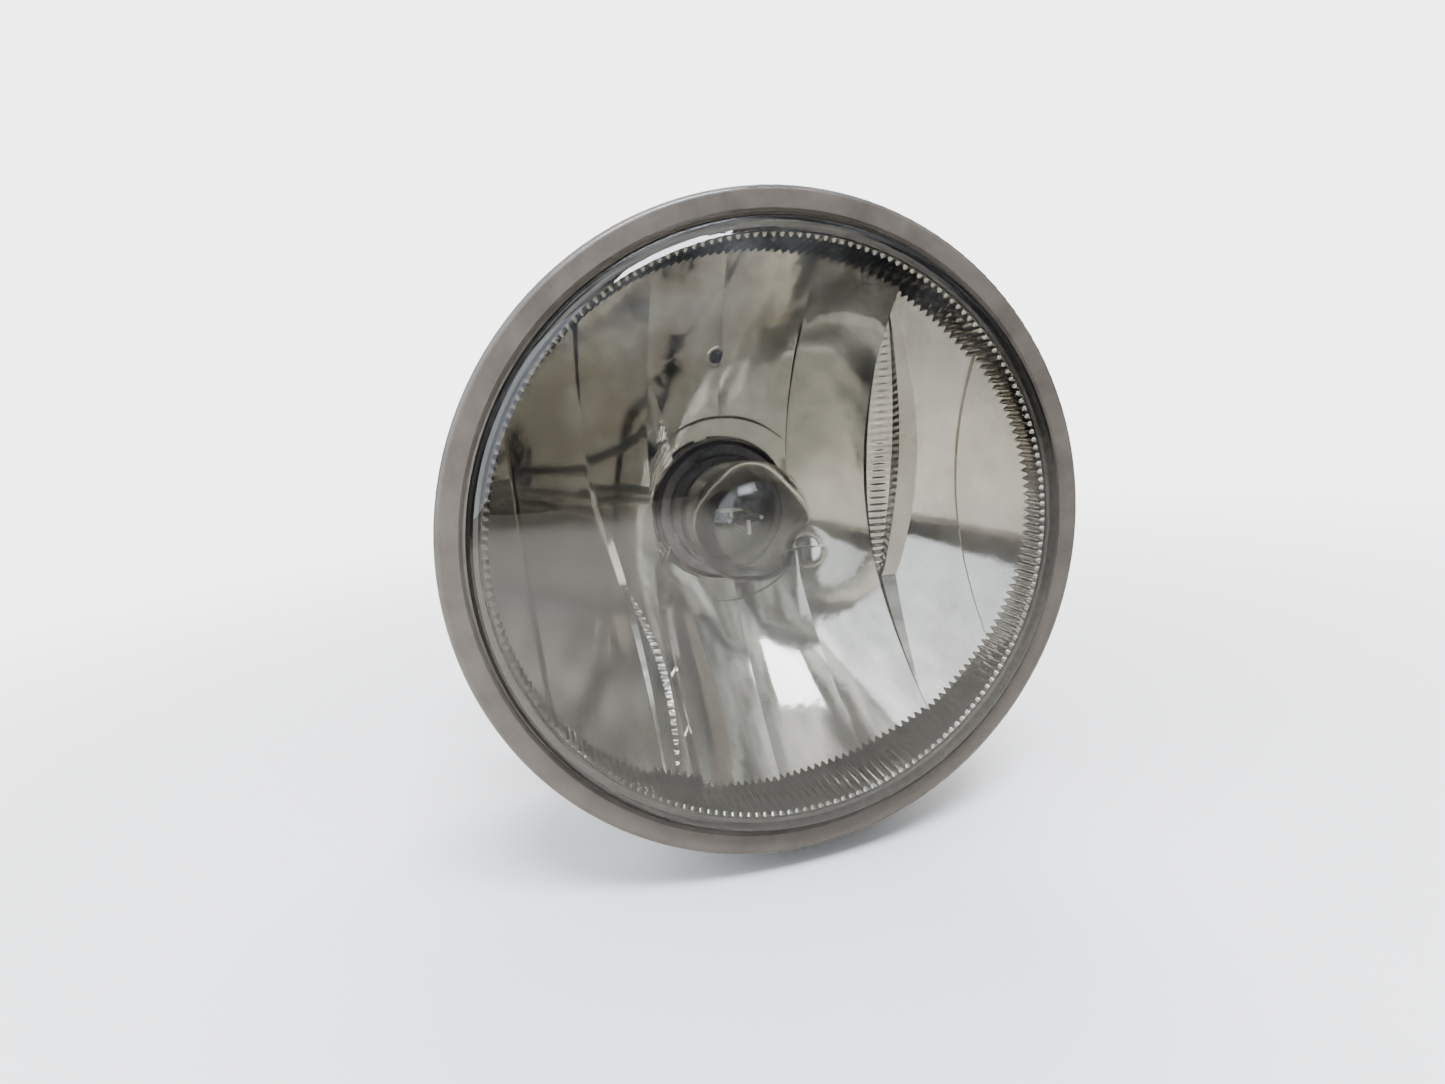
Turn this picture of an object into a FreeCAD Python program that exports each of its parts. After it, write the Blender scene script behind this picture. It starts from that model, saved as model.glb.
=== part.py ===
"""Round fog light: a tilting lamp unit with a quarter-turn bulb, in a U bracket with an aim screw.

The lens faces -Y and +Z is up.  The origin is the centre of the bracket's rear face, on the lamp's
axis.  Depths along the lamp are measured from the plane of the housing's widest edge, positive to
the rear, and back() turns such a depth into a Y coordinate.
"""

import FreeCAD
import Part
import Sketcher
import math
import os
from types import SimpleNamespace

Vector = FreeCAD.Vector
Rotation = FreeCAD.Rotation

# ------------------------------------------------------------------ driving dimensions (mm, degrees)
DIMENSIONS = {
    # housing and lens
    "mount_depth": 70.0,
    "lip_radius": 51.0,
    "lip_crown": 0.4,
    "lip_inner": 47.2,
    "lip_edge": 2.0,
    "collar_radius": 49.6,
    "barrel_radius": 47.0,
    "barrel_depth": 13.0,
    "tail_radius": 31.0,
    "tail_depth": 40.0,
    "rear_depth": 43.0,
    "shell_wall": 2.5,
    "shell_offset": 2.9,
    "rear_hole": 20.5,
    "channel_inner": 45.0,
    "channel_wall": 0.6,
    "channel_front": 0.4,
    "channel_depth": 6.0,
    "lens_apex": 10.5,
    "lens_sphere": 146.7,
    "lens_wall": 2.4,
    "lens_radius": 46.8,
    "shoulder_start": 44.2,
    "shoulder_radius": 3.75,
    "skirt_inner": 45.2,
    "skirt_depth": 3.5,
    # reflector
    "vertex_depth": 36.0,
    "bowl_x": 53.2,
    "bowl_z": 64.9,
    "bowl_wall": 3.0,
    "rim_radius": 44.2,
    "rim_inner": 43.4,
    "rim_front": 0.2,
    "strip_pitch": 12.2,
    "strip_centre": -1.5,
    "neck_inner": 12.6,
    "neck_outer": 17.0,
    "neck_depth": 50.0,
    "slot_radius": 14.9,
    "slot_front": 44.5,
    "slot_back": 47.5,
    "spy_x": -1.9,
    "spy_z": 27.4,
    "spy_radius": 1.1,
    "post_circle": 23.8,
    "post_radius": 3.4,
    "post_screw": 1.5,
    "post_head": 3.1,
    # bulb
    "base_front": 35.0,
    "base_radius": 12.2,
    "seal_groove": 10.9,
    "seal_radius": 12.55,
    "flange_radius": 17.5,
    "flange_gap": 0.3,
    "flange_back": 53.0,
    "hub_radius": 12.6,
    "hub_back": 55.0,
    "shroud_width": 21.0,
    "shroud_height": 14.4,
    "shroud_wall": 1.8,
    "shroud_back": 66.0,
    "glass_radius": 10.2,
    "glass_wall": 0.9,
    "glass_shoulder": 20.5,
    "glass_apex": 12.6,
    "glass_foot": 39.5,
    "stem_radius": 4.0,
    "stem_front": 33.0,
    "coil_depth": 21.5,
    "coil_half": 2.6,
    "coil_radius": 0.6,
    "wire_radius": 0.35,
    "key_radius": 14.6,
    "key_angle": 20.0,
    "twist_angle": 45.0,
    "blade_offset": 4.6,
    "blade_width": 2.8,
    "blade_thickness": 0.8,
    # pivots
    "pivot_depth": 32.0,
    "boss_radius": 8.0,
    "boss_end": 41.9,
    "insert_radius": 4.5,
    "insert_start": 32.9,
    "pivot_thread": 3.0,
    "pivot_shoulder": 4.0,
    "running_gap": 0.05,
    "bush_radius": 6.0,
    "bush_flange": 9.0,
    "bush_start": 42.2,
    "bush_end": 46.5,
    "washer_gap": 0.1,
    "washer_end": 47.4,
    "washer_radius": 7.5,
    "pivot_head": 50.8,
    "pivot_head_radius": 7.0,
    # bracket
    "plate": 2.5,
    "bracket_half_width": 45.0,
    "bracket_half_height": 28.0,
    "corner_x": 38.0,
    "corner_z": 20.0,
    "arm_root": 7.0,
    "arm_end": 9.5,
    "bend_radius": 6.0,
    "window_radius": 24.0,
    "hole_x": 33.0,
    "hole_z": 18.0,
    "hole_radius": 3.3,
    # aim adjuster
    "aim_drop": 46.5,
    "aim_tab_front": 54.0,
    "aim_tab_half": 11.0,
    "aim_tab_low": 54.5,
    "aim_tip": 23.0,
    "aim_thread": 2.5,
    "aim_journal": 3.0,
    "aim_shoulder": 57.4,
    "aim_flange": 6.6,
    "aim_head": 58.9,
    "aim_head_back": 64.5,
    "grommet_radius": 5.0,
    "grommet_flange": 7.5,
    "lug_radius": 8.3,
    "lug_half": 6.0,
    "socket_radius": 6.3,
    "ball_radius": 4.5,
    "ball_gap": 0.3,
    "ear_radius": 1.3,
    "ear_reach": 5.8,
    "nut_gap": 0.06,
    # breather
    "vent_circle": 25.6,
    "vent_radius": 4.4,
    "vent_stem": 2.0,
    "vent_back": 47.0,
}

doc = FreeCAD.newDocument("FogLight")
sheet = doc.addObject("Spreadsheet::Sheet", "Sizes")
for row, (alias, number) in enumerate(DIMENSIONS.items(), start=1):
    sheet.set(f"A{row}", alias)
    sheet.set(f"B{row}", str(number))
    sheet.setAlias(f"B{row}", alias)
doc.recompute()


class Size:
    """A length known both as a number and as the spreadsheet expression that yields it."""

    def __init__(self, value, text):
        self.value = value
        self.text = text

    def _join(self, sign, value, left, right):
        parts = [side.text if isinstance(side, Size) else f"{side:.9g}" for side in (left, right)]
        return Size(value, f"({parts[0]} {sign} {parts[1]})")

    def __add__(self, other):
        return self._join("+", self.value + plain(other), self, other)

    def __radd__(self, other):
        return self._join("+", plain(other) + self.value, other, self)

    def __sub__(self, other):
        return self._join("-", self.value - plain(other), self, other)

    def __rsub__(self, other):
        return self._join("-", plain(other) - self.value, other, self)

    def __mul__(self, other):
        return self._join("*", self.value * plain(other), self, other)

    def __rmul__(self, other):
        return self._join("*", plain(other) * self.value, other, self)

    def __truediv__(self, other):
        return self._join("/", self.value / plain(other), self, other)

    def __neg__(self):
        return self * -1


def plain(length):
    """The number of millimetres in a Size or a plain number."""
    return length.value if isinstance(length, Size) else float(length)


def root(length):
    """The square root of a Size."""
    return Size(math.sqrt(length.value), f"sqrt({length.text})")


size = SimpleNamespace(**{name: Size(value, f"Sizes.{name}") for name, value in DIMENSIONS.items()})


def back(depth):
    """The Y coordinate of a depth behind the lip plane."""
    return depth - size.mount_depth


def bind(item, field, length):
    """Sets a field of an object by expression."""
    item.setExpression(field, length.text if isinstance(length, Size) else f"{length:.9g}")


# ------------------------------------------------------------------ sketches and bodies
def outline(sketch, points):
    """Draws a closed outline whose corners are bound to the sheet.

    Each entry is (u, v) for a straight edge to that corner, or (u, v, radius, side) for an arc of
    that radius, whose centre is on the left (side 1) or right (side -1) of the way along it.
    """
    corners = [Vector(plain(point[0]), plain(point[1]), 0) for point in points]
    for index, point in enumerate(points):
        start = corners[index - 1]
        end = corners[index]
        if len(point) == 2:
            sketch.addGeometry(Part.LineSegment(start, end), False)
            continue
        radius = plain(point[2])
        chord = end - start
        across = Vector(-chord.y, chord.x, 0).normalize() * point[3]
        rise = math.sqrt(max(radius ** 2 - (chord.Length / 2) ** 2, 0.0))
        centre = (start + end) / 2 + across * rise
        if abs(centre.x) < 1e-9:
            centre.x = 0.0
        first, last = (start, end) if point[3] > 0 else (end, start)
        circle = Part.Circle(centre, Vector(0, 0, 1), radius)
        angles = [math.atan2(corner.y - centre.y, corner.x - centre.x) for corner in (first, last)]
        sketch.addGeometry(Part.ArcOfCircle(circle, *angles), False)
    ends = []
    for index, corner in enumerate(corners):
        forward = (sketch.Geometry[index].EndPoint - corner).Length < 1e-5
        ends.append((1, 2) if forward else (2, 1))
    for index in range(len(points)):
        following = (index + 1) % len(points)
        sketch.addConstraint(
            Sketcher.Constraint("Coincident", index, ends[index][1], following, ends[following][0]))
    for index, point in enumerate(points):
        tie(sketch, "DistanceX", (-1, 1, index, ends[index][1]), point[0])
        tie(sketch, "DistanceY", (-1, 1, index, ends[index][1]), point[1])
        if len(point) > 2:
            tie(sketch, "Radius", (index,), point[2])


def tie(sketch, kind, where, length):
    """Adds one dimension to a sketch and binds it to the sheet."""
    if kind != "Radius" and abs(plain(length)) < 1e-9:
        axis = -2 if kind == "DistanceX" else -1
        sketch.addConstraint(Sketcher.Constraint("PointOnObject", where[2], where[3], axis))
        return
    number = sketch.addConstraint(Sketcher.Constraint(kind, *where, plain(length)))
    if isinstance(length, Size):
        sketch.setExpression(f"Constraints[{number}]", length.text)


def profiled(label, plane, points):
    """A new body with a closed outline on one of its own origin planes."""
    body = doc.addObject("PartDesign::Body", label)
    sketch = body.newObject("Sketcher::SketchObject", f"{label}_outline")
    support = [item for item in body.Origin.OriginFeatures if item.Role == f"{plane}_Plane"][0]
    sketch.AttachmentSupport = (support, "")
    sketch.MapMode = "FlatFace"
    outline(sketch, points)
    return body, sketch


def turned(label, points, angle=360.0, midplane=False):
    """A body turned about the Y axis from an outline of (radius, y) corners."""
    body, sketch = profiled(label, "XY", points)
    turn = body.newObject("PartDesign::Revolution", f"{label}_turn")
    turn.Profile = sketch
    turn.ReferenceAxis = (sketch, ["V_Axis"])
    turn.Midplane = midplane
    bind(turn, "Angle", angle)
    body.Tip = turn
    return body


def padded(label, plane, points, length):
    """A body padded both ways from an outline on one of its origin planes."""
    body, sketch = profiled(label, plane, points)
    pad = body.newObject("PartDesign::Pad", f"{label}_pad")
    pad.Profile = sketch
    pad.SideType = "Symmetric"
    bind(pad, "Length", length)
    body.Tip = pad
    return body


def place(item, x=0.0, y=0.0, z=0.0, turn=None):
    """Sets where an object stands; turn is (axis, degrees)."""
    if turn:
        item.Placement = FreeCAD.Placement(Vector(), Rotation(turn[0], turn[1]))
    for letter, length in (("x", x), ("y", y), ("z", z)):
        bind(item, f"Placement.Base.{letter}", length)
    return item


# ------------------------------------------------------------------ primitives and booleans
ALONG = {
    "x": (Vector(0, 1, 0), 90),
    "y": (Vector(1, 0, 0), -90),
    "z": (Vector(0, 0, 1), 0),
}
Y_TO_X = (Vector(0, 0, 1), -90)


def rod(name, radius, length, x=0.0, y=0.0, z=0.0, axis="y"):
    """A cylinder that starts at a point and runs along +X, +Y or +Z."""
    item = doc.addObject("Part::Cylinder", name)
    bind(item, "Radius", radius)
    bind(item, "Height", length)
    return place(item, x, y, z, ALONG[axis])


def block(name, low, high):
    """A box between two corners."""
    item = doc.addObject("Part::Box", name)
    for field, start, end in zip(("Length", "Width", "Height"), low, high):
        bind(item, field, end - start)
    return place(item, *low)


def ball(name, radius, x=0.0, y=0.0, z=0.0):
    """A sphere about a point."""
    item = doc.addObject("Part::Sphere", name)
    bind(item, "Radius", radius)
    return place(item, x, y, z)


def fused(name, items):
    """Several solids joined into one."""
    item = doc.addObject("Part::MultiFuse", name)
    item.Shapes = items
    return item


def cut(name, base, tool):
    """One solid less another."""
    item = doc.addObject("Part::Cut", name)
    item.Base = base
    item.Tool = tool
    return item


def common(name, first, second):
    """What two solids share."""
    item = doc.addObject("Part::MultiCommon", name)
    item.Shapes = [first, second]
    return item


def group(name, items):
    """Separate solids that share one node."""
    item = doc.addObject("Part::Compound", name)
    item.Links = items
    return item


def pair(name, source):
    """A piece and its mirror image on the other side of the YZ plane, in one node."""
    other = doc.addObject("Part::Mirroring", f"{name}_left")
    other.Source = source
    other.Normal = Vector(1, 0, 0)
    return group(name, [source, other])


def on_circle(radius, angle):
    """X and Z of a point on a circle about the lamp's axis, the angle counted from +X to +Z."""
    turn = math.radians(angle)
    return radius * math.cos(turn), radius * math.sin(turn)


POST_ANGLES = (90, 210, 330)
KEY_ANGLES = (30, 150, 270)
VENT_ANGLE = 150


# ------------------------------------------------------------------ lamp unit
def lens():
    """Clear domed glass with a skirt that stands in the housing's channel."""
    shoulder = size.shoulder_start
    rear_sphere = size.lens_sphere - size.lens_wall
    centre = back(size.lens_sphere - size.lens_apex)
    shoulder_front = centre - root(size.lens_sphere * size.lens_sphere - shoulder * shoulder)
    rear_edge = centre - root(rear_sphere * rear_sphere - size.skirt_inner * size.skirt_inner)
    return turned("lens", [
        (0, back(-size.lens_apex)),
        (shoulder, shoulder_front, size.lens_sphere, 1),
        (size.lens_radius, back(0), size.shoulder_radius, 1),
        (size.lens_radius, back(size.skirt_depth)),
        (size.skirt_inner, back(size.skirt_depth)),
        (size.skirt_inner, rear_edge),
        (0, back(size.lens_wall - size.lens_apex), rear_sphere, -1),
    ])


def lens_seal():
    """Bead of sealant under the lens skirt and up its outer side."""
    outside = size.lip_inner
    return turned("lens_seal", [
        (size.channel_inner, back(size.skirt_depth)),
        (size.lens_radius, back(size.skirt_depth)),
        (size.lens_radius, back(size.lip_crown)),
        (outside, back(size.lip_crown)),
        (outside, back(size.channel_depth)),
        (size.channel_inner, back(size.channel_depth)),
    ])


def housing():
    """Moulded bowl with the lens channel, pivot bosses and the lug of the aim adjuster."""
    slope = (size.barrel_radius - size.tail_radius) / (size.tail_depth - size.barrel_depth)
    rear_inner = size.rear_depth - size.shell_wall
    inner = size.channel_inner - size.channel_wall
    inner_start = (size.barrel_radius - size.shell_offset - inner) / slope + size.barrel_depth
    inner_end = (size.barrel_radius - size.shell_offset) - slope * (rear_inner - size.barrel_depth)
    shell = turned("housing_shell", [
        (0, back(size.channel_front)),
        (size.channel_inner, back(size.channel_front)),
        (size.channel_inner, back(size.channel_depth)),
        (size.lip_inner, back(size.channel_depth)),
        (size.lip_inner, back(0)),
        (size.lip_inner + 0.5, back(-size.lip_crown)),
        (size.lip_radius - 0.8, back(-size.lip_crown)),
        (size.lip_radius, back(size.lip_crown), 0.9, 1),
        (size.lip_radius, back(size.lip_edge)),
        (size.collar_radius, back(size.lip_edge + 1.4)),
        (size.collar_radius, back(size.channel_depth + 1)),
        (size.barrel_radius, back(size.channel_depth + 3.6)),
        (size.barrel_radius, back(size.barrel_depth)),
        (size.tail_radius, back(size.tail_depth)),
        (size.tail_radius, back(size.rear_depth)),
        (0, back(size.rear_depth)),
    ])
    cavity = turned("housing_cavity", [
        (0, back(size.channel_front - 1)),
        (inner, back(size.channel_front - 1)),
        (inner, back(inner_start)),
        (inner_end, back(rear_inner)),
        (size.rear_hole, back(rear_inner)),
        (size.rear_hole, back(size.rear_depth + 1)),
        (0, back(size.rear_depth + 1)),
    ])
    pivot_y = back(size.pivot_depth)
    boss_start = size.tail_radius - 4
    boss_length = size.boss_end - boss_start
    bosses = [
        rod("boss_right", size.boss_radius, boss_length, boss_start, pivot_y, 0, "x"),
        rod("boss_left", size.boss_radius, boss_length, -size.boss_end, pivot_y, 0, "x"),
    ]
    lug_front = back(size.pivot_depth - size.lug_half)
    lug = rod("lug", size.lug_radius, size.lug_half * 2, 0, lug_front, -size.aim_drop)
    web = block("lug_web", (-size.lug_half, lug_front, -size.aim_drop + size.socket_radius + 0.5),
                (size.lug_half, lug_front + size.lug_half * 2, -size.tail_radius + 4))
    solid = fused("housing_solid", [shell, *bosses, lug, web])
    insert_length = size.boss_end - size.insert_start + 1
    bores = [
        rod("bore_right", size.insert_radius, insert_length, size.insert_start, pivot_y, 0, "x"),
        rod("bore_left", size.insert_radius, insert_length, -size.boss_end - 1, pivot_y, 0, "x"),
        rod("lug_bore", size.socket_radius, size.lug_half * 2 + 2, 0, lug_front - 1,
            -size.aim_drop),
    ]
    for number, angle in enumerate(POST_ANGLES):
        x, z = on_circle(size.post_circle, angle)
        bores.append(rod(f"screw_hole_{number}", size.post_screw, 8, x, back(rear_inner - 2), z))
    x, z = on_circle(size.vent_circle, VENT_ANGLE)
    bores.append(rod("vent_hole", size.vent_stem, 8, x, back(rear_inner - 2), z))
    return cut("housing", cut("housing_bowl", solid, cavity), fused("housing_bores", bores))


def reflector_depth(x, z, tilt):
    """Depth of a strip's mirror face; tilt leans it about X by so many mm at 40 mm from the axis."""
    bowl = x * x / size.bowl_x.value + z * z / size.bowl_z.value
    return size.vertex_depth - bowl + tilt * z / 40.0


def strip_tool(start, end, tilt):
    """The space in front of one vertical strip of the mirror: a parabola's face run along X."""
    reach = size.rim_radius.value + 1.0
    front = back(-60.0).value
    low = back(reflector_depth(start, -reach, tilt))
    middle = back(reflector_depth(start, 0, tilt))
    high = back(reflector_depth(start, reach, tilt))
    poles = [
        Vector(start, low.value, -reach),
        Vector(start, 2 * middle.value - (low.value + high.value) / 2, 0),
        Vector(start, high.value, reach),
    ]
    curve = Part.BezierCurve()
    curve.setPoles(poles)
    corners = [poles[2], Vector(start, front, reach), Vector(start, front, -reach), poles[0]]
    edges = [Part.LineSegment(a, b).toShape() for a, b in zip(corners, corners[1:])]
    rise = reflector_depth(end, 0, tilt) - reflector_depth(start, 0, tilt)
    run = Vector(end - start, plain(rise), 0)
    return Part.Face(Part.Wire([curve.toShape(), *edges])).extrude(run)


def bowl_outside():
    """The bowl's rear skin: a paraboloid, narrower across than it is tall."""
    apex = back(size.vertex_depth + size.bowl_wall).value
    reach = size.rim_radius.value * 1.35
    curve = Part.BezierCurve()
    front = apex - reach ** 2 / (size.bowl_z.value * 1.05)
    curve.setPoles([Vector(0, apex, 0), Vector(reach / 2, apex, 0), Vector(reach, front, 0)])
    corners = [Vector(reach, front, 0), Vector(0, front, 0), Vector(0, apex, 0)]
    edges = [Part.LineSegment(a, b).toShape() for a, b in zip(corners, corners[1:])]
    round_bowl = Part.Face(Part.Wire([curve.toShape(), *edges])).revolve(
        Vector(0, 0, 0), Vector(0, 1, 0), 360)
    narrow = FreeCAD.Matrix()
    narrow.scale(math.sqrt(size.bowl_x.value / size.bowl_z.value), 1, 1)
    return round_bowl.transformGeometry(narrow)


STRIP_TILTS = (0.0, 0.0, 1.0, 0.2, 0.0, 0.4, -0.8, -0.6)


def reflector():
    """Metallised bowl of vertical mirror strips with a fluted side wall and the bulb's neck."""
    pitch = size.strip_pitch.value
    edges = [size.strip_centre.value + pitch * step for step in range(-3, 4)]
    limit = size.rim_radius.value + 2.0
    edges = [-limit, *edges, limit]
    tools = [
        strip_tool(start, end, tilt) for start, end, tilt in zip(edges, edges[1:], STRIP_TILTS)
    ]
    bore = Part.makeCylinder(size.rim_inner.value, size.vertex_depth.value + 20,
                             Vector(0, back(-12.0).value, 0), Vector(0, 1, 0))
    envelope = Part.makeCylinder(size.rim_radius.value, 70.0,
                                 Vector(0, back(size.rim_front).value, 0), Vector(0, 1, 0))
    shell = bowl_outside().common(envelope)
    for tool in tools:
        shell = shell.cut(tool.common(bore))
    bowl = doc.addObject("Part::Feature", "reflector_bowl")
    bowl.Shape = shell
    bowl.Placement = FreeCAD.Placement()
    extra = [rod("neck", size.neck_outer, size.neck_depth - size.vertex_depth + 4, 0,
                 back(size.vertex_depth - 4))]
    rear_inner = size.rear_depth - size.shell_wall
    for number, angle in enumerate(POST_ANGLES):
        x, z = on_circle(size.post_circle, angle)
        extra.append(rod(f"post_{number}", size.post_radius, 14.5, x, back(rear_inner - 14.5), z))
    blank = fused("reflector_blank", [bowl, *extra])
    keyways = turned("keyway_ring", [
        (size.neck_inner - 1, back(size.slot_front)),
        (size.slot_radius, back(size.slot_front)),
        (size.slot_radius, back(size.slot_back)),
        (size.neck_inner - 1, back(size.slot_back)),
    ])
    voids = [keyways,
             rod("neck_bore", size.neck_inner, 30, 0, back(size.vertex_depth - 8)),
             rod("spy_hole", size.spy_radius, 30, size.spy_x, back(10), size.spy_z)]
    for number, angle in enumerate(KEY_ANGLES):
        entry = turned(f"key_entry_{number}", [
            (size.neck_inner - 1, back(size.slot_back - 0.5)),
            (size.slot_radius, back(size.slot_back - 0.5)),
            (size.slot_radius, back(size.neck_depth + 1)),
            (size.neck_inner - 1, back(size.neck_depth + 1)),
        ], size.key_angle + 5, True)
        turn = -(angle + size.twist_angle.value)
        voids.append(place(entry, turn=(Vector(0, 1, 0), turn)))
    for number, angle in enumerate(POST_ANGLES):
        x, z = on_circle(size.post_circle, angle)
        voids.append(rod(f"post_hole_{number}", size.post_screw, 8.5, x, back(rear_inner - 8), z))
    return cut("reflector", blank, fused("reflector_voids", voids))


def reflector_screws():
    """Pan-head screws that hold the reflector's posts to the housing's rear wall."""
    head = back(size.rear_depth)
    screws = []
    for number, angle in enumerate(POST_ANGLES):
        x, z = on_circle(size.post_circle, angle)
        screw = turned(f"reflector_screw_{number}", [
            (0, head - 9.5),
            (size.post_screw - 0.5, head - 9.5),
            (size.post_screw, head - 8.6),
            (size.post_screw, head),
            (size.post_head, head),
            (size.post_head, head + 1.2),
            (size.post_head - 0.9, head + 2.1),
            (1.0, head + 2.1),
            (1.0, head + 0.8),
            (0, head + 0.8),
        ])
        screws.append(place(screw, x, 0, z))
    return group("reflector_screws", screws)


def neck_gasket():
    """Rubber ring between the reflector's neck and the housing's rear opening."""
    front = back(size.rear_depth - size.shell_wall)
    rear = back(size.rear_depth)
    return turned("neck_gasket", [
        (size.neck_outer, front),
        (size.rear_hole, front),
        (size.rear_hole, rear),
        (size.rear_hole - 0.6, rear + 0.6),
        (size.neck_outer, rear + 0.6),
    ])


def vent_cap():
    """Breather cap on a hollow stem through the housing's rear wall."""
    x, z = on_circle(size.vent_circle, VENT_ANGLE)
    rear = back(size.rear_depth)
    cap = turned("vent_cap", [
        (size.vent_stem - 0.9, back(size.rear_depth - size.shell_wall)),
        (size.vent_stem, back(size.rear_depth - size.shell_wall)),
        (size.vent_stem, rear),
        (size.vent_radius, rear),
        (size.vent_radius, back(size.vent_back) - 0.6),
        (size.vent_radius - 0.6, back(size.vent_back)),
        (size.vent_stem - 0.9, back(size.vent_back)),
        (size.vent_stem - 0.9, rear + 2.8),
        (size.vent_radius - 0.9, rear + 2.8),
        (size.vent_radius - 0.9, rear + 1.0),
        (size.vent_stem - 0.9, rear + 1.0),
    ])
    return place(cap, x, 0, z)


def vent_membrane():
    """Round breather membrane inside the cap."""
    x, z = on_circle(size.vent_circle, VENT_ANGLE)
    return rod("vent_membrane", size.vent_radius - 0.9, 0.4, x, back(size.rear_depth) + 1.0, z)


def pivot_piece(name, points):
    """A piece turned about the pivot axis, from (radius, x) corners, and its mirror image."""
    piece = place(turned(f"{name}_right", points), 0, back(size.pivot_depth), 0, Y_TO_X)
    return pair(name, piece)


def pivot_inserts():
    """Brass thread inserts in the housing's pivot bosses."""
    return pivot_piece("pivot_inserts", [
        (size.pivot_thread, size.insert_start),
        (size.insert_radius, size.insert_start),
        (size.insert_radius, size.boss_end),
        (size.pivot_thread, size.boss_end),
    ])


def pivot_screws():
    """Shoulder screws on which the lamp unit tilts."""
    head_start = size.washer_end
    return pivot_piece("pivot_screws", [
        (0, size.insert_start + 1),
        (size.pivot_thread - 0.6, size.insert_start + 1),
        (size.pivot_thread, size.insert_start + 1.6),
        (size.pivot_thread, size.boss_end),
        (size.pivot_shoulder, size.boss_end),
        (size.pivot_shoulder, head_start),
        (size.pivot_head_radius, head_start),
        (size.pivot_head_radius, size.pivot_head - 1.2),
        (size.pivot_head_radius - 1.2, size.pivot_head),
        (size.pivot_thread - 0.2, size.pivot_head),
        (size.pivot_thread - 0.6, size.pivot_head - 2.2),
        (0, size.pivot_head - 2.2),
    ])


def pivot_washers():
    """Washers between the screw heads and the bushings' flanges."""
    return pivot_piece("pivot_washers", [
        (size.pivot_shoulder, size.bush_end + size.washer_gap),
        (size.washer_radius, size.bush_end + size.washer_gap),
        (size.washer_radius, size.washer_end),
        (size.pivot_shoulder, size.washer_end),
    ])


def adjuster_socket():
    """Nylon cup in the housing's lug that takes the ball nut, with side slots for the nut's ears."""
    y = back(size.pivot_depth)
    front = y - size.lug_half
    drop = -size.aim_drop
    blank = rod("socket_blank", size.socket_radius, size.lug_half * 2, 0, front, drop)
    slot_high = size.ear_radius + size.ball_gap + 0.2
    slot_reach = size.ear_reach + 0.2
    seat_radius = size.ball_radius + size.ball_gap
    voids = fused("socket_voids", [
        rod("socket_seat", seat_radius, size.lug_half + seat_radius + 1, 0, front - 1, drop),
        rod("socket_bore", size.aim_thread + 0.9, size.lug_half * 2 + 2, 0, front - 1, drop),
        block("socket_slots", (-slot_reach, front - 1, drop - slot_high),
              (slot_reach, y + slot_high, drop + slot_high)),
    ])
    return cut("adjuster_socket", blank, voids)


# ------------------------------------------------------------------ bulb
def bulb_base():
    """Moulded base with three bayonet keys, a sealing groove, a grip flange and a plug socket."""
    flange_front = size.neck_depth + size.flange_gap
    core = turned("base_core", [
        (0, back(size.glass_foot)),
        (size.glass_radius + 0.3, back(size.glass_foot)),
        (size.glass_radius + 0.3, back(size.base_front)),
        (size.base_radius, back(size.base_front)),
        (size.base_radius, back(39.0)),
        (size.seal_groove, back(39.0)),
        (size.seal_groove, back(41.2)),
        (size.base_radius, back(41.2)),
        (size.base_radius, back(flange_front)),
        (size.flange_radius - 0.6, back(flange_front)),
        (size.flange_radius, back(flange_front) + 0.6),
        (size.flange_radius, back(size.flange_back) - 0.6),
        (size.flange_radius - 0.6, back(size.flange_back)),
        (size.hub_radius, back(size.flange_back)),
        (size.hub_radius, back(size.hub_back)),
        (0, back(size.hub_back)),
    ])
    keys = []
    for number, angle in enumerate(KEY_ANGLES):
        key = turned(f"base_key_{number}", [
            (size.base_radius - 1, back(size.slot_front + 0.3)),
            (size.key_radius, back(size.slot_front + 0.3)),
            (size.key_radius, back(size.slot_back - 0.3)),
            (size.base_radius - 1, back(size.slot_back - 0.3)),
        ], size.key_angle, True)
        keys.append(place(key, turn=(Vector(0, 1, 0), -angle)))
    half_width = size.shroud_width / 2
    half_height = size.shroud_height / 2
    shroud = padded("base_shroud", "XZ", rounded_box(half_width, half_height, 4.0),
                    (size.shroud_back - size.hub_back) * 2)
    place(shroud, 0, back(size.hub_back), 0)
    wall = size.shroud_wall
    socket = padded("base_socket", "XZ",
                    rounded_box(half_width - wall, half_height - wall, 2.2),
                    (size.shroud_back - size.hub_back) * 2)
    place(socket, 0, back(size.shroud_back) + 1, 0)
    grips = []
    for angle in range(0, 360, 30):
        x, z = on_circle(size.flange_radius + 0.5, angle + 15)
        grips.append(rod(f"base_grip_{angle}", 1.6, 4, x, back(flange_front) - 0.5, z))
    latch = block("base_latch", (-2.5, back(size.hub_back), half_height - 0.4),
                  (2.5, back(size.shroud_back) - 2, half_height + 1.6))
    blades = [
        block(f"blade_slot_{side}",
              (side * size.blade_offset - size.blade_width / 2, back(49.0),
               -size.blade_thickness / 2),
              (side * size.blade_offset + size.blade_width / 2, back(size.shroud_back),
               size.blade_thickness / 2))
        for side in (-1, 1)
    ]
    stem = rod("stem_hole", size.stem_radius, 3, 0, back(size.glass_foot) - 1, 0)
    front_half = common("base_shroud_half", shroud,
                        rod("shroud_limit", 20, 30, 0, back(size.hub_back) - 2, 0))
    solid = fused("base_solid", [core, *keys, front_half, latch])
    return cut("bulb_base", solid, fused("base_voids", [socket, stem, *grips, *blades]))


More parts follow.
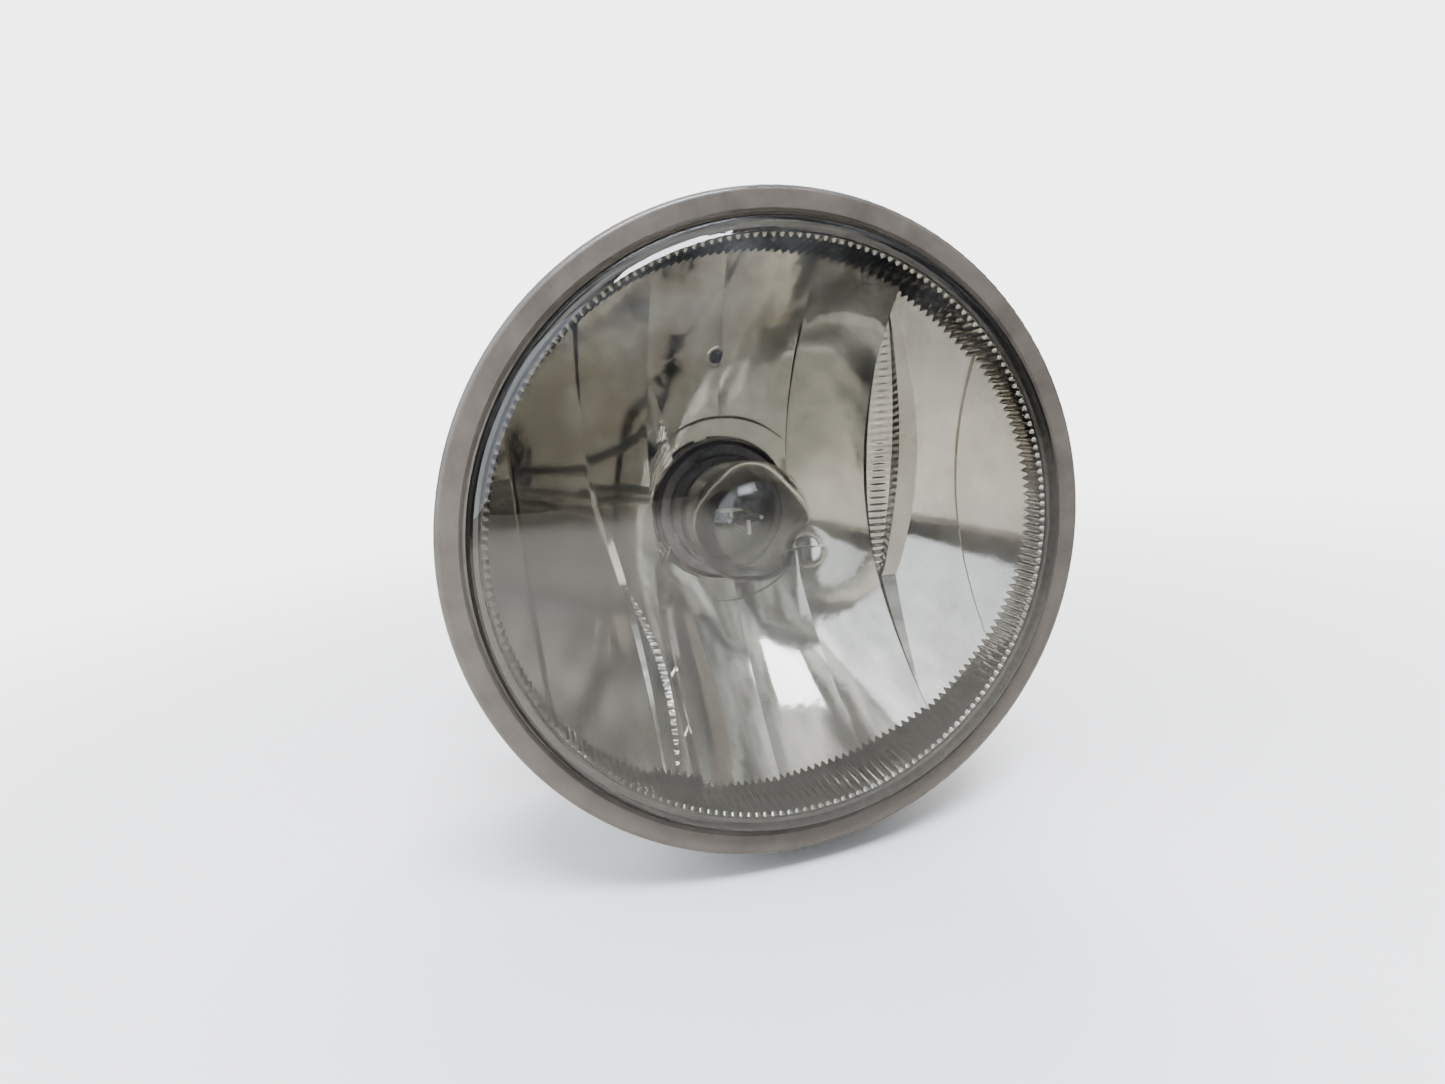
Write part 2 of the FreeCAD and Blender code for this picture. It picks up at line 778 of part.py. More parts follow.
def rounded_box(half_width, half_height, corner):
    """Corners of a rectangle with quarter-round corners."""
    points = []
    signs = ((1, 1), (-1, 1), (-1, -1), (1, -1))
    for number, (across, up) in enumerate(signs):
        side = (across * half_width, up * (half_height - corner))
        end = (across * (half_width - corner), up * half_height)
        first, second = (side, end) if number % 2 == 0 else (end, side)
        points.append(first)
        points.append((*second, corner, 1))
    return points


def bulb_retainer():
    """Pressed ring that holds the glass in the base, with a locating notch."""
    ring = turned("retainer_ring", [
        (size.glass_radius + 0.4, back(size.base_front) - 0.8),
        (size.base_radius - 0.1, back(size.base_front) - 0.8),
        (size.base_radius - 0.1, back(size.base_front)),
        (size.glass_radius + 0.4, back(size.base_front)),
    ])
    x, z = on_circle(size.base_radius, 100)
    notch = rod("retainer_notch", 1.0, 3, x, back(size.base_front) - 2, z)
    return cut("bulb_retainer", ring, notch)


def bulb_glass():
    """Clear round envelope with a domed front, open at the foot where the stem closes it."""
    outer = size.glass_radius
    inner = outer - size.glass_wall
    return cut("bulb_glass", glass_shape("glass_outside", outer, 0.0),
               fused("glass_voids", [glass_shape("glass_inside", inner, size.glass_wall),
                                     rod("glass_mouth", size.stem_radius, 4, 0,
                                         back(size.glass_foot) - 2, 0)]))


def glass_shape(name, radius, inset):
    """A round-ended cylinder for the outer or inner face of the envelope."""
    apex = back(size.glass_apex + inset)
    shoulder = back(size.glass_shoulder)
    rise = shoulder - apex
    dome = (radius * radius + rise * rise) / (2 * rise)
    return turned(name, [
        (0, apex),
        (radius, shoulder, dome, 1),
        (radius, back(size.glass_foot - inset)),
        (0, back(size.glass_foot - inset)),
    ])


def bulb_stem():
    """Glass stem that closes the envelope's foot and carries the wires."""
    radius = size.stem_radius
    return turned("bulb_stem", [
        (0, back(size.stem_front)),
        (radius - 1.4, back(size.stem_front)),
        (radius - 1.4, back(36.5)),
        (radius, back(37.6)),
        (radius, back(size.glass_foot) + 2),
        (0, back(size.glass_foot) + 2),
    ])


def bulb_filament():
    """The coil's envelope, set across the lamp's axis."""
    return rod("bulb_filament", size.coil_radius, size.coil_half * 2, -size.coil_half,
               back(size.coil_depth), 0, "x")


def bulb_supports():
    """Two bent lead wires to the coil's ends and a forked third support in front of it."""
    reach = size.coil_half + size.wire_radius
    front = back(size.coil_depth)
    foot = back(size.stem_front) - size.wire_radius
    wires = []
    for side, name in ((-1, "left"), (1, "right")):
        wires.append(fused(f"lead_{name}", [
            rod(f"lead_rod_{name}", size.wire_radius, foot - front, side * reach, front, 0),
            rod(f"lead_bend_{name}", size.wire_radius, reach, reach * ((side - 1) / 2), foot, 0, "x"),
        ]))
    fork = front - 1.6
    low = size.coil_half * -0.8
    wires.append(fused("third_support", [
        rod("third_post", size.wire_radius, foot - 1.2 - fork, 0, fork, low),
        rod("third_fork", size.wire_radius, -low, 0, fork, low, "z"),
        rod("third_foot", size.wire_radius, -low, 0, foot - 1.2, low, "z"),
    ]))
    return group("bulb_supports", wires)


def bulb_o_ring():
    """Square-section seal in the base's groove, in the reflector's neck."""
    return turned("bulb_o_ring", [
        (size.seal_groove, back(39.0)),
        (size.seal_radius, back(39.4)),
        (size.seal_radius, back(40.8)),
        (size.seal_groove, back(41.2)),
    ])


def bulb_terminals():
    """Two contact blades in the plug socket."""
    blades = []
    for side, name in ((-1, "left"), (1, "right")):
        middle = side * size.blade_offset
        blades.append(block(f"blade_{name}",
                            (middle - size.blade_width / 2, back(49.0), size.blade_thickness / -2),
                            (middle + size.blade_width / 2, back(size.shroud_back - 3),
                             size.blade_thickness / 2)))
    return group("bulb_terminals", blades)


# ------------------------------------------------------------------ bracket
def bracket():
    """Bent steel U with a window for the bulb, four bolt holes and a tab for the aim screw."""
    half = size.bracket_half_width
    inner = half - size.plate
    bend = size.bend_radius
    front = back(size.pivot_depth - size.arm_end)
    section = padded("bracket_section", "XY", [
        (half - bend, 0),
        (half, -bend, bend, -1),
        (half, front),
        (inner, front),
        (inner, -bend),
        (half - bend, -size.plate, bend - size.plate, 1),
        (bend - half, -size.plate),
        (-inner, -bend, bend - size.plate, 1),
        (-inner, front),
        (-half, front),
        (-half, -bend),
        (bend - half, 0, bend, -1),
    ], size.bracket_half_height * 2)
    pivot_y = back(size.pivot_depth)
    high = size.bracket_half_height
    side = padded("bracket_side", "YZ", [
        (0, -high),
        (0, high),
        (-size.arm_root, high),
        (pivot_y, size.arm_end),
        (pivot_y - size.arm_end, 0, size.arm_end, 1),
        (pivot_y, -size.arm_end, size.arm_end, 1),
        (-size.arm_root, -high),
    ], half * 2 + 2)
    face = padded("bracket_face", "XZ", [
        (half, -size.corner_z),
        (half, size.corner_z),
        (size.corner_x, high),
        (-size.corner_x, high),
        (-half, size.corner_z),
        (-half, -size.corner_z),
        (-size.corner_x, -high),
        (size.corner_x, -high),
    ], size.mount_depth * 2)
    tab_front = back(size.aim_tab_front)
    tab_half = size.aim_tab_half
    strap = block("aim_strap", (-tab_half, tab_front, -high), (tab_half, 0, size.plate - high))
    tab = block("aim_tab", (-tab_half, tab_front, -size.aim_tab_low),
                (tab_half, tab_front + size.plate, size.plate - high))
    ribs = []
    for side_sign, name in ((-1, "left"), (1, "right")):
        middle = side_sign * (tab_half - size.plate / 2)
        ribs.append(block(f"aim_rib_{name}",
                          (middle - size.plate / 2, tab_front, -high - 8),
                          (middle + size.plate / 2, tab_front + 8, size.plate - high)))
    solid = fused("bracket_solid",
                  [common("bracket_u", common("bracket_sides", section, side), face),
                   strap, tab, *ribs])
    voids = [
        rod("bracket_window", size.window_radius, size.plate + 2, 0, -size.plate - 1, 0),
        rod("pivot_holes", size.bush_radius, half * 2 + 2, -half - 1, pivot_y, 0, "x"),
        rod("aim_hole", size.grommet_radius, size.plate + 2, 0, tab_front - 1, -size.aim_drop),
    ]
    for x_sign in (-1, 1):
        for z_sign in (-1, 1):
            voids.append(rod(f"bolt_hole_{x_sign + 1}_{z_sign + 1}", size.hole_radius,
                             size.plate + 2, x_sign * size.hole_x, -size.plate - 1,
                             z_sign * size.hole_z))
    return cut("bracket", solid, fused("bracket_voids", voids))


def pivot_bushings():
    """Flanged nylon bushings in the bracket's arms."""
    bore = size.pivot_shoulder + size.running_gap
    return pivot_piece("pivot_bushings", [
        (bore, size.bush_start),
        (size.bush_radius, size.bush_start),
        (size.bush_radius, size.bracket_half_width),
        (size.bush_flange, size.bracket_half_width),
        (size.bush_flange, size.bush_end),
        (bore, size.bush_end),
    ])


# ------------------------------------------------------------------ aim adjuster
def adjuster_grommet():
    """Nylon grommet in the bracket's tab, in which the aim screw turns."""
    front = back(size.aim_tab_front)
    rear = front + size.plate
    bore = size.aim_journal + size.running_gap
    grommet = turned("adjuster_grommet", [
        (bore, front - 0.8),
        (size.grommet_radius, front - 0.8),
        (size.grommet_radius + 0.6, front - 0.4),
        (size.grommet_radius + 0.6, front),
        (size.grommet_radius, front),
        (size.grommet_radius, rear),
        (size.grommet_flange, rear),
        (size.grommet_flange, rear + 0.8),
        (bore, rear + 0.8),
    ])
    return place(grommet, 0, 0, -size.aim_drop)


def adjuster_screw():
    """Aim screw: a thread at the front, a journal, a flange and a hexagon head with a recess."""
    clip = back(size.aim_tab_front) - 1.8
    shaft = turned("aim_shaft", [
        (0, back(size.aim_tip)),
        (size.aim_thread - 0.7, back(size.aim_tip)),
        (size.aim_thread, back(size.aim_tip) + 0.9),
        (size.aim_thread, clip - 1.5),
        (size.aim_journal, clip - 1.5),
        (size.aim_journal, clip),
        (size.aim_thread - 0.4, clip),
        (size.aim_thread - 0.4, clip + 0.8),
        (size.aim_journal, clip + 0.8),
        (size.aim_journal, back(size.aim_shoulder)),
        (size.aim_flange, back(size.aim_shoulder)),
        (size.aim_flange, back(size.aim_head)),
        (0, back(size.aim_head)),
    ])
    place(shaft, 0, 0, -size.aim_drop)
    head = doc.addObject("Part::Prism", "aim_hexagon")
    head.Polygon = 6
    bind(head, "Circumradius", size.aim_flange - 1.4)
    bind(head, "Height", size.aim_head_back - size.aim_head)
    place(head, 0, back(size.aim_head), -size.aim_drop, ALONG["y"])
    recess = rod("aim_recess", 2.0, 3.4, 0, back(size.aim_head_back) - 3, -size.aim_drop)
    return cut("adjuster_screw", fused("aim_blank", [shaft, head]), recess)


def adjuster_clip():
    """Open clip in the screw's groove, in front of the grommet."""
    clip = back(size.aim_tab_front) - 1.8
    inner = size.aim_thread - 0.4
    ring = place(turned("clip_ring", [
        (inner, clip),
        (inner + 2.6, clip),
        (inner + 2.6, clip + 0.8),
        (inner, clip + 0.8),
    ]), 0, 0, -size.aim_drop)
    mouth = block("clip_mouth", (-1.5, clip - 1, -size.aim_drop),
                  (1.5, clip + 2, 6 - size.aim_drop))
    return cut("adjuster_clip", ring, mouth)


def adjuster_nut():
    """Ball nut with two ears that keep it from turning in its socket."""
    y = back(size.pivot_depth)
    drop = -size.aim_drop
    solid = fused("nut_solid", [
        ball("nut_ball", size.ball_radius, 0, y, drop),
        rod("nut_ears", size.ear_radius, size.ear_reach * 2, -size.ear_reach, y, drop, "x"),
    ])
    bore = rod("nut_bore", size.aim_thread + size.nut_gap, 12, 0, y - 6, drop)
    return cut("adjuster_nut", solid, bore)


# ------------------------------------------------------------------ the assembly
BUILDERS = (
    lens, lens_seal, housing, reflector, reflector_screws, neck_gasket, vent_cap, vent_membrane,
    pivot_inserts, pivot_screws, pivot_washers, adjuster_socket, bulb_base, bulb_retainer,
    bulb_glass, bulb_stem, bulb_filament, bulb_supports, bulb_o_ring, bulb_terminals, bracket,
    pivot_bushings, adjuster_grommet, adjuster_screw, adjuster_clip, adjuster_nut,
)


def main():
    """Builds every piece, checks the document and writes one STEP file for each node."""
    pieces = {}
    for builder in BUILDERS:
        piece = builder()
        piece.Label = builder.__name__
        pieces[builder.__name__] = piece
    doc.recompute()
    for item in doc.Objects:
        if "Invalid" in item.State or "Error" in item.State:
            raise RuntimeError(f"{item.Label} failed: {item.State}")
    os.makedirs("parts", exist_ok=True)
    for name, piece in pieces.items():
        shape = piece.Shape
        if shape.isNull() or not shape.isValid() or not shape.Solids:
            raise RuntimeError(f"{name} has no valid solid")
        shape.exportStep(os.path.join("parts", f"{name}.step"))
        box = shape.BoundBox
        print(f"{name:18s} solids {len(shape.Solids)} volume {shape.Volume:9.1f} "
              f"x {box.XMin:6.1f} {box.XMax:6.1f} y {box.YMin:6.1f} {box.YMax:6.1f} "
              f"z {box.ZMin:6.1f} {box.ZMax:6.1f}")


main()
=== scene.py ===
"""Looks for a round fog light: glass lens, faceted mirror bowl, clear bulb, bracket and aim screw.

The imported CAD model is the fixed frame.  The pieces whose look needs more than the CAD shape are
rebuilt here in fine mesh: the mirror bowl, the bulb's glass and coil, and the threaded aim screw.
Every other CAD piece keeps its mesh and gets the finish of what it is made from.
Lengths inside the classes are in millimetres; `Shape.to_object` turns them to metres.
"""

import logging
import math
from collections.abc import Callable, Sequence
from dataclasses import dataclass, field
from enum import Enum

import bmesh
import bpy
from mathutils import Matrix, Vector


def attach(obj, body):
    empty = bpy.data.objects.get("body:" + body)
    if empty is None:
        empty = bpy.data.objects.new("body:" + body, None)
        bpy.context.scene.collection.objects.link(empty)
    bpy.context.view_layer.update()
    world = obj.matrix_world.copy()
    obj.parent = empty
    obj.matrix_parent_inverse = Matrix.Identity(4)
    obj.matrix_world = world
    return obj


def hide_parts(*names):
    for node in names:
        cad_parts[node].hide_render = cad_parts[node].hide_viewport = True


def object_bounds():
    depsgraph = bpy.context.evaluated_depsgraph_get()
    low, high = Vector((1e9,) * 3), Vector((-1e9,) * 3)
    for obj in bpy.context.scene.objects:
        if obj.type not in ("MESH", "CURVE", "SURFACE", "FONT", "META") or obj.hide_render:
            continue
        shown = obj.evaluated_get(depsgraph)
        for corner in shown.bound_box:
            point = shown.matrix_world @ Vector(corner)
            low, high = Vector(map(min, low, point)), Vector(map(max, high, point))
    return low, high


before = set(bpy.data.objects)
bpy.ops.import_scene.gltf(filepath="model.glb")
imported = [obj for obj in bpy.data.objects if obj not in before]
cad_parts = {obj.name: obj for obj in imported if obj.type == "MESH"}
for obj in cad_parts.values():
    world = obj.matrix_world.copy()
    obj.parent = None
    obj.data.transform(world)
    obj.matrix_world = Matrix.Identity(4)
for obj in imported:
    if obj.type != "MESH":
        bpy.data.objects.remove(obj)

CAD_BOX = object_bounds()
LOG = logging.getLogger("fog_light")
MOUNT_DEPTH = 70.0
METRES_PER_MM = 0.001
WELD_DISTANCE = 2e-6
SLIVER_LENGTH = 1e-6
FLOOR_GAP = 0.0005
LIGHTS_AIM = (0, -0.04, 0)


# ------------------------------------------------------------------ finishes
class Grain(Enum):
    """How a surface was made, which sets the pattern of its fine relief."""

    MOULDED = "moulded"
    BRUSHED = "brushed"
    TURNED = "turned"
    SMOOTH = "smooth"


def linear(code: str) -> tuple[float, float, float, float]:
    """Turns an sRGB hex colour to linear light.

    Args:
        code: Colour as "#rrggbb".

    Returns:
        Linear red, green, blue and an alpha of 1.
    """
    values = [int(code[place:place + 2], 16) / 255 for place in (1, 3, 5)]
    red, green, blue = (
        value / 12.92 if value <= 0.04045 else ((value + 0.055) / 1.055) ** 2.4 for value in values
    )
    return red, green, blue, 1.0


def add_node(
    tree: bpy.types.NodeTree,
    kind: str,
    settings: dict[str, object] | None = None,
    links: dict[str, bpy.types.NodeSocket] | None = None,
) -> bpy.types.Node:
    """Adds one shader node with its settings and incoming links.

    Args:
        tree: Node tree that takes the node.
        kind: Blender's identifier of the node's type.
        settings: Values by input name, or by attribute name where no input has that name.
        links: Sockets that feed the named inputs.

    Returns:
        The new node.
    """
    node = tree.nodes.new(kind)
    for name, value in (settings or {}).items():
        if name in node.inputs:
            node.inputs[name].default_value = value
        else:
            setattr(node, name, value)
    for name, socket in (links or {}).items():
        key = int(name) if name.isdigit() else name
        tree.links.new(socket, node.inputs[key])
    return node


@dataclass(frozen=True)
class Finish:
    """A surface finish with fine relief, patchy colour and patchy roughness."""

    name: str
    colour: str
    shade: str
    roughness: float
    spread: float = 0.08
    metallic: float = 0.0
    ior: float = 1.5
    grain: Grain = Grain.MOULDED
    grain_mm: float = 0.6
    relief_mm: float = 0.02
    patch_mm: float = 9.0
    transmission: float = 0.0
    coat: float = 0.0

    def pattern_scale(self, size_mm: float) -> float:
        """Turns the size of a pattern to the scale of a noise texture.

        Args:
            size_mm: Size of the pattern's features in millimetres.

        Returns:
            Noise scale per metre.
        """
        return 1000.0 / size_mm

    def stretch(self) -> tuple[float, float, float]:
        """Tells how the relief is drawn out along the way that the surface was worked.

        Returns:
            Scale of the relief's pattern along X, Y and Z.
        """
        if self.grain is Grain.BRUSHED:
            return 0.06, 1.0, 1.0
        if self.grain is Grain.TURNED:
            return 1.0, 0.05, 1.0
        return 1.0, 1.0, 1.0

    def material(self) -> bpy.types.Material:
        """Builds the finish as a node material.

        Returns:
            The material, made once and then reused.
        """
        made = bpy.data.materials.get(self.name)
        if made:
            return made
        made = bpy.data.materials.new(self.name)
        made.use_nodes = True
        tree = made.node_tree
        tree.nodes.clear()
        place = add_node(tree, "ShaderNodeTexCoord")
        fine_place = add_node(tree, "ShaderNodeMapping", {"Scale": self.stretch()},
                              {"Vector": place.outputs["Object"]})
        patches = add_node(
            tree, "ShaderNodeTexNoise",
            {"Scale": self.pattern_scale(self.patch_mm), "Detail": 4.0, "Roughness": 0.6},
            {"Vector": place.outputs["Object"]})
        grain = add_node(
            tree, "ShaderNodeTexNoise",
            {"Scale": self.pattern_scale(self.grain_mm), "Detail": 3.0, "Roughness": 0.55},
            {"Vector": fine_place.outputs["Vector"]})
        tone = add_node(tree, "ShaderNodeValToRGB", {}, {"Fac": patches.outputs["Fac"]})
        tone.color_ramp.elements[0].position = 0.32
        tone.color_ramp.elements[0].color = linear(self.shade)
        tone.color_ramp.elements[1].position = 0.62
        tone.color_ramp.elements[1].color = linear(self.colour)
        gloss = add_node(
            tree, "ShaderNodeMapRange",
            {"From Min": 0.3, "From Max": 0.7,
             "To Min": max(self.roughness - self.spread / 2, 0.0),
             "To Max": self.roughness + self.spread / 2},
            {"Value": patches.outputs["Fac"]})
        relief = add_node(
            tree, "ShaderNodeBump",
            {"Strength": 1.0, "Distance": self.relief_mm / 1000},
            {"Height": grain.outputs["Fac"]})
        shader = add_node(
            tree, "ShaderNodeBsdfPrincipled",
            {"Metallic": self.metallic, "Transmission Weight": self.transmission,
             "Coat Weight": self.coat, "Coat Roughness": 0.08},
            {"Base Color": tone.outputs["Color"], "Roughness": gloss.outputs["Result"],
             "Normal": relief.outputs["Normal"]})
        if self.metallic < 0.5:
            shader.inputs["IOR"].default_value = self.ior
        add_node(tree, "ShaderNodeOutputMaterial", {}, {"Surface": shader.outputs["BSDF"]})
        return made


# Pressed soda-lime glass: clear, with a faint grey-green body and a hardly seen draw of its mould.
LENS_GLASS = Finish("pressed_lens_glass", "#f4f5f3", "#eceeec", 0.015, 0.012, ior=1.5,
                    grain=Grain.SMOOTH, grain_mm=14.0, relief_mm=0.012, patch_mm=22.0,
                    transmission=1.0)
# Aluminium vapour on lacquered plastic: a bright grey mirror with lacquer haze and soft waves.
MIRROR_COAT = Finish("aluminised_lacquer_mirror", "#bdb9b2", "#a8a49d", 0.07, 0.05, 1.0,
                     grain=Grain.SMOOTH, grain_mm=7.0, relief_mm=0.03, patch_mm=12.0)
# Moulded polyester of the housing: warm grey-brown, satin, with a little dust in its grain.
HOUSING_PLASTIC = Finish("moulded_polyester_grey_brown", "#5f5952", "#504a44", 0.38, 0.14,
                         grain_mm=0.5, relief_mm=0.02, patch_mm=7.0, coat=0.25)
# Butyl sealant under the lens edge: grey-brown, dull and a little lumpy.
SEALANT = Finish("butyl_sealant", "#7d766d", "#6b645c", 0.45, 0.2, grain_mm=1.5,
                 relief_mm=0.05, patch_mm=5.0)
# Bright zinc plate on screws: cool grey with a soft streak round the turned faces.
ZINC_PLATE = Finish("bright_zinc_plate", "#b9bcc0", "#9fa2a6", 0.3, 0.14, 1.0,
                    grain=Grain.TURNED, grain_mm=0.35, relief_mm=0.01, patch_mm=3.0)
# Soft black rubber of seals: nearly matt.
SEAL_RUBBER = Finish("black_seal_rubber", "#232324", "#19191a", 0.62, 0.15, grain_mm=0.8,
                     relief_mm=0.02, patch_mm=4.0)
# Orange silicone of the bulb's ring.
SILICONE = Finish("silicone_ring", "#8c3f26", "#7a3520", 0.45, 0.1, grain_mm=0.9,
                  relief_mm=0.01, patch_mm=3.0)
# Glass-filled nylon of the bulb base: near black, eggshell, with fine moulded grain.
BASE_NYLON = Finish("black_glass_filled_nylon", "#2b2a2b", "#1f1f20", 0.42, 0.16, grain_mm=0.45,
                    relief_mm=0.02, patch_mm=5.0)
# Porous film over the breather.
VENT_FILM = Finish("breather_film", "#e6e4de", "#d6d3cb", 0.8, 0.1, grain_mm=0.25,
                   relief_mm=0.02, patch_mm=2.0)
# Turned brass of the thread inserts.
BRASS = Finish("turned_brass", "#c9a765", "#b08f52", 0.3, 0.14, 1.0, grain=Grain.TURNED,
               grain_mm=0.3, relief_mm=0.01, patch_mm=2.5)
# Natural nylon of the bushings and the grommet: milky and waxy.
NATURAL_NYLON = Finish("natural_nylon", "#e4e0d3", "#d5d0c1", 0.42, 0.12, ior=1.53,
                       grain_mm=0.8, relief_mm=0.012, patch_mm=4.0)
# Stamped spring steel of the bulb's retaining ring: dark grey, softly brushed.
RETAINER_STEEL = Finish("blackened_retainer_steel", "#5c5b5c", "#484849", 0.34, 0.14, 1.0,
                        grain=Grain.BRUSHED, grain_mm=0.4, relief_mm=0.012, patch_mm=3.0)
# Hard glass of the bulb: thin, clear and a little wavy where it was blown.
BULB_GLASS = Finish("blown_bulb_glass", "#f3f3f1", "#e9eae8", 0.01, 0.008, ior=1.47,
                    grain=Grain.SMOOTH, grain_mm=6.0, relief_mm=0.02, patch_mm=9.0,
                    transmission=1.0)
# Drawn tungsten: dark grey with a dull shine.
TUNGSTEN = Finish("drawn_tungsten", "#77767a", "#5b5a5e", 0.42, 0.15, 1.0, grain_mm=0.1,
                  relief_mm=0.003, patch_mm=0.8)
# Nickel lead wires: warm silver.
NICKEL_WIRE = Finish("nickel_wire", "#bdb8ae", "#a39e95", 0.24, 0.1, 1.0, grain=Grain.TURNED,
                     grain_mm=0.15, relief_mm=0.003, patch_mm=1.0)
# Tinned brass blades of the plug.
TINNED_BRASS = Finish("tinned_brass", "#c2bfb6", "#a9a59a", 0.28, 0.12, 1.0,
                      grain=Grain.BRUSHED, grain_mm=0.2, relief_mm=0.004, patch_mm=1.5)
# Pressed steel of the bracket with black electrocoat: satin, a little orange peel.
BRACKET_COAT = Finish("electrocoated_steel", "#2e2f31", "#242527", 0.36, 0.12, ior=1.5,
                      grain_mm=1.3, relief_mm=0.03, patch_mm=14.0, coat=0.3)
# Spring steel of the clip: oiled dark grey.
SPRING_STEEL = Finish("oiled_spring_steel", "#6b6a69", "#4f4e4e", 0.33, 0.14, 1.0,
                      grain=Grain.BRUSHED, grain_mm=0.3, relief_mm=0.006, patch_mm=1.6)

CAD_FINISHES: dict[str, Finish] = {
    "lens": LENS_GLASS,
    "lens_seal": SEALANT,
    "housing": HOUSING_PLASTIC,
    "reflector_screws": ZINC_PLATE,
    "neck_gasket": SEAL_RUBBER,
    "vent_cap": BASE_NYLON,
    "vent_membrane": VENT_FILM,
    "pivot_inserts": BRASS,
    "pivot_screws": ZINC_PLATE,
    "pivot_washers": ZINC_PLATE,
    "adjuster_socket": NATURAL_NYLON,
    "bulb_base": BASE_NYLON,
    "bulb_retainer": RETAINER_STEEL,
    "bulb_stem": BULB_GLASS,
    "bulb_supports": NICKEL_WIRE,
    "bulb_o_ring": SILICONE,
    "bulb_terminals": TINNED_BRASS,
    "bracket": BRACKET_COAT,
    "pivot_bushings": NATURAL_NYLON,
    "adjuster_grommet": NATURAL_NYLON,
    "adjuster_clip": SPRING_STEEL,
    "adjuster_nut": NATURAL_NYLON,
}


# ------------------------------------------------------------------ meshes
def at(x: float, depth: float, z: float) -> Vector:
    """Places a point by its depth behind the lip plane.

    Args:
        x: Place across the lamp in millimetres.
        depth: Depth behind the lip plane in millimetres.
        z: Height in millimetres.

    Returns:
        The point in millimetres.
    """
    return Vector((x, depth - MOUNT_DEPTH, z))


@dataclass
class Shape:
    """Points and faces gathered in millimetres before they become one Blender mesh."""

    points: list[Vector] = field(default_factory=list)
    faces: list[tuple[int, ...]] = field(default_factory=list)

    def rows(self, rows: Sequence[Sequence[Vector]], looped: bool = False) -> None:
        """Adds a sheet of quads through rows of points.

        Args:
            rows: Rows of the same length.
            looped: Whether the last point of each row joins the first.
        """
        start = len(self.points)
        width = len(rows[0])
        for row in rows:
            self.points.extend(row)
        last = width if looped else width - 1
        for line in range(len(rows) - 1):
            for place in range(last):
                a = start + line * width + place
                b = start + line * width + (place + 1) % width
                self.faces.append((a, b, b + width, a + width))

    def turned(
        self,
        profile: Sequence[tuple[float, float]],
        steps: int = 96,
        x: float = 0.0,
        z: float = 0.0,
    ) -> None:
        """Adds a skin turned about a line along Y.

        Args:
            profile: Radius and depth of each ring.
            steps: Number of points on each ring.
            x: Where the line crosses X.
            z: Where the line crosses Z.
        """
        self.rows([
            [at(x + radius * math.cos(math.tau * step / steps), depth,
                z + radius * math.sin(math.tau * step / steps)) for step in range(steps)]
            for radius, depth in profile
        ], looped=True)

    def to_object(
        self, name: str, finish: Finish, body: str, crease: float = 35.0
    ) -> bpy.types.Object:
        """Makes the Blender object, welds and smooths it, and lets it ride.

        Args:
            name: Name of the object and its mesh.
            finish: Finish for the whole piece.
            body: CAD body that carries the piece.
            crease: Edges bent more than this many degrees stay sharp.

        Returns:
            The linked object.
        """
        mesh = bpy.data.meshes.new(name)
        mesh.from_pydata([point * METRES_PER_MM for point in self.points], [], self.faces)
        mesh.update()
        piece = bpy.data.objects.new(name, mesh)
        bpy.context.scene.collection.objects.link(piece)
        clean(mesh)
        mesh.materials.append(finish.material())
        mesh.shade_smooth()
        mesh.set_sharp_from_angle(angle=math.radians(crease))
        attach(piece, body)
        LOG.info("%s: %d faces on body %s", name, len(mesh.polygons), body)
        return piece


def clean(mesh: bpy.types.Mesh) -> None:
    """Welds points that coincide, drops faces with no area and turns the faces one way.

    Args:
        mesh: Mesh to clean in place.
    """
    work = bmesh.new()
    work.from_mesh(mesh)
    bmesh.ops.remove_doubles(work, verts=work.verts, dist=WELD_DISTANCE)
    bmesh.ops.dissolve_degenerate(work, edges=work.edges, dist=SLIVER_LENGTH)
    bmesh.ops.recalc_face_normals(work, faces=work.faces)
    work.to_mesh(mesh)
    work.free()


# ------------------------------------------------------------------ mirror bowl
@dataclass(frozen=True)
class Edge:
    """A line between two mirror strips: its X at mid height, its lean and its bow at 40 mm."""

    middle: float
    lean: float = 0.0
    bow: float = 0.0

    def x(self, z: float) -> float:
        """Finds where the line stands at a height.

        Args:
            z: Height in millimetres.

        Returns:
            X of the line.
        """
        share = z / 40.0
        return self.middle + self.lean * share + self.bow * share * share


@dataclass(frozen=True)
class Ramp:
    """A crescent-shaped slope beside an edge; a ribbed one has fine ribs pressed across it."""

    low: float
    high: float
    width: float
    drop: float
    peak: float = 0.5
    rib: float = 0.0
    rib_pitch: float = 1.25

    def reach(self, z: float) -> float:
        """Tells how wide the slope is at a height.

        Args:
            z: Height in millimetres.

        Returns:
            Width in millimetres, 0 past either end.
        """
        share = (z - self.low) / (self.high - self.low)
        if share <= 0.0 or share >= 1.0:
            return 0.0
        power = math.log(0.5) / math.log(self.peak)
        return self.width * math.sin(math.pi * share ** power) ** 0.8


@dataclass(frozen=True)
class Strip:
    """One mirror strip: the edges it spans, how far back it stands, its lean, turn and belly."""

    span: tuple[int, int]
    offset: float = 0.0
    lean: float = 0.0
    turn: float = 0.0
    belly: float = 0.0
    crease: float = 0.0


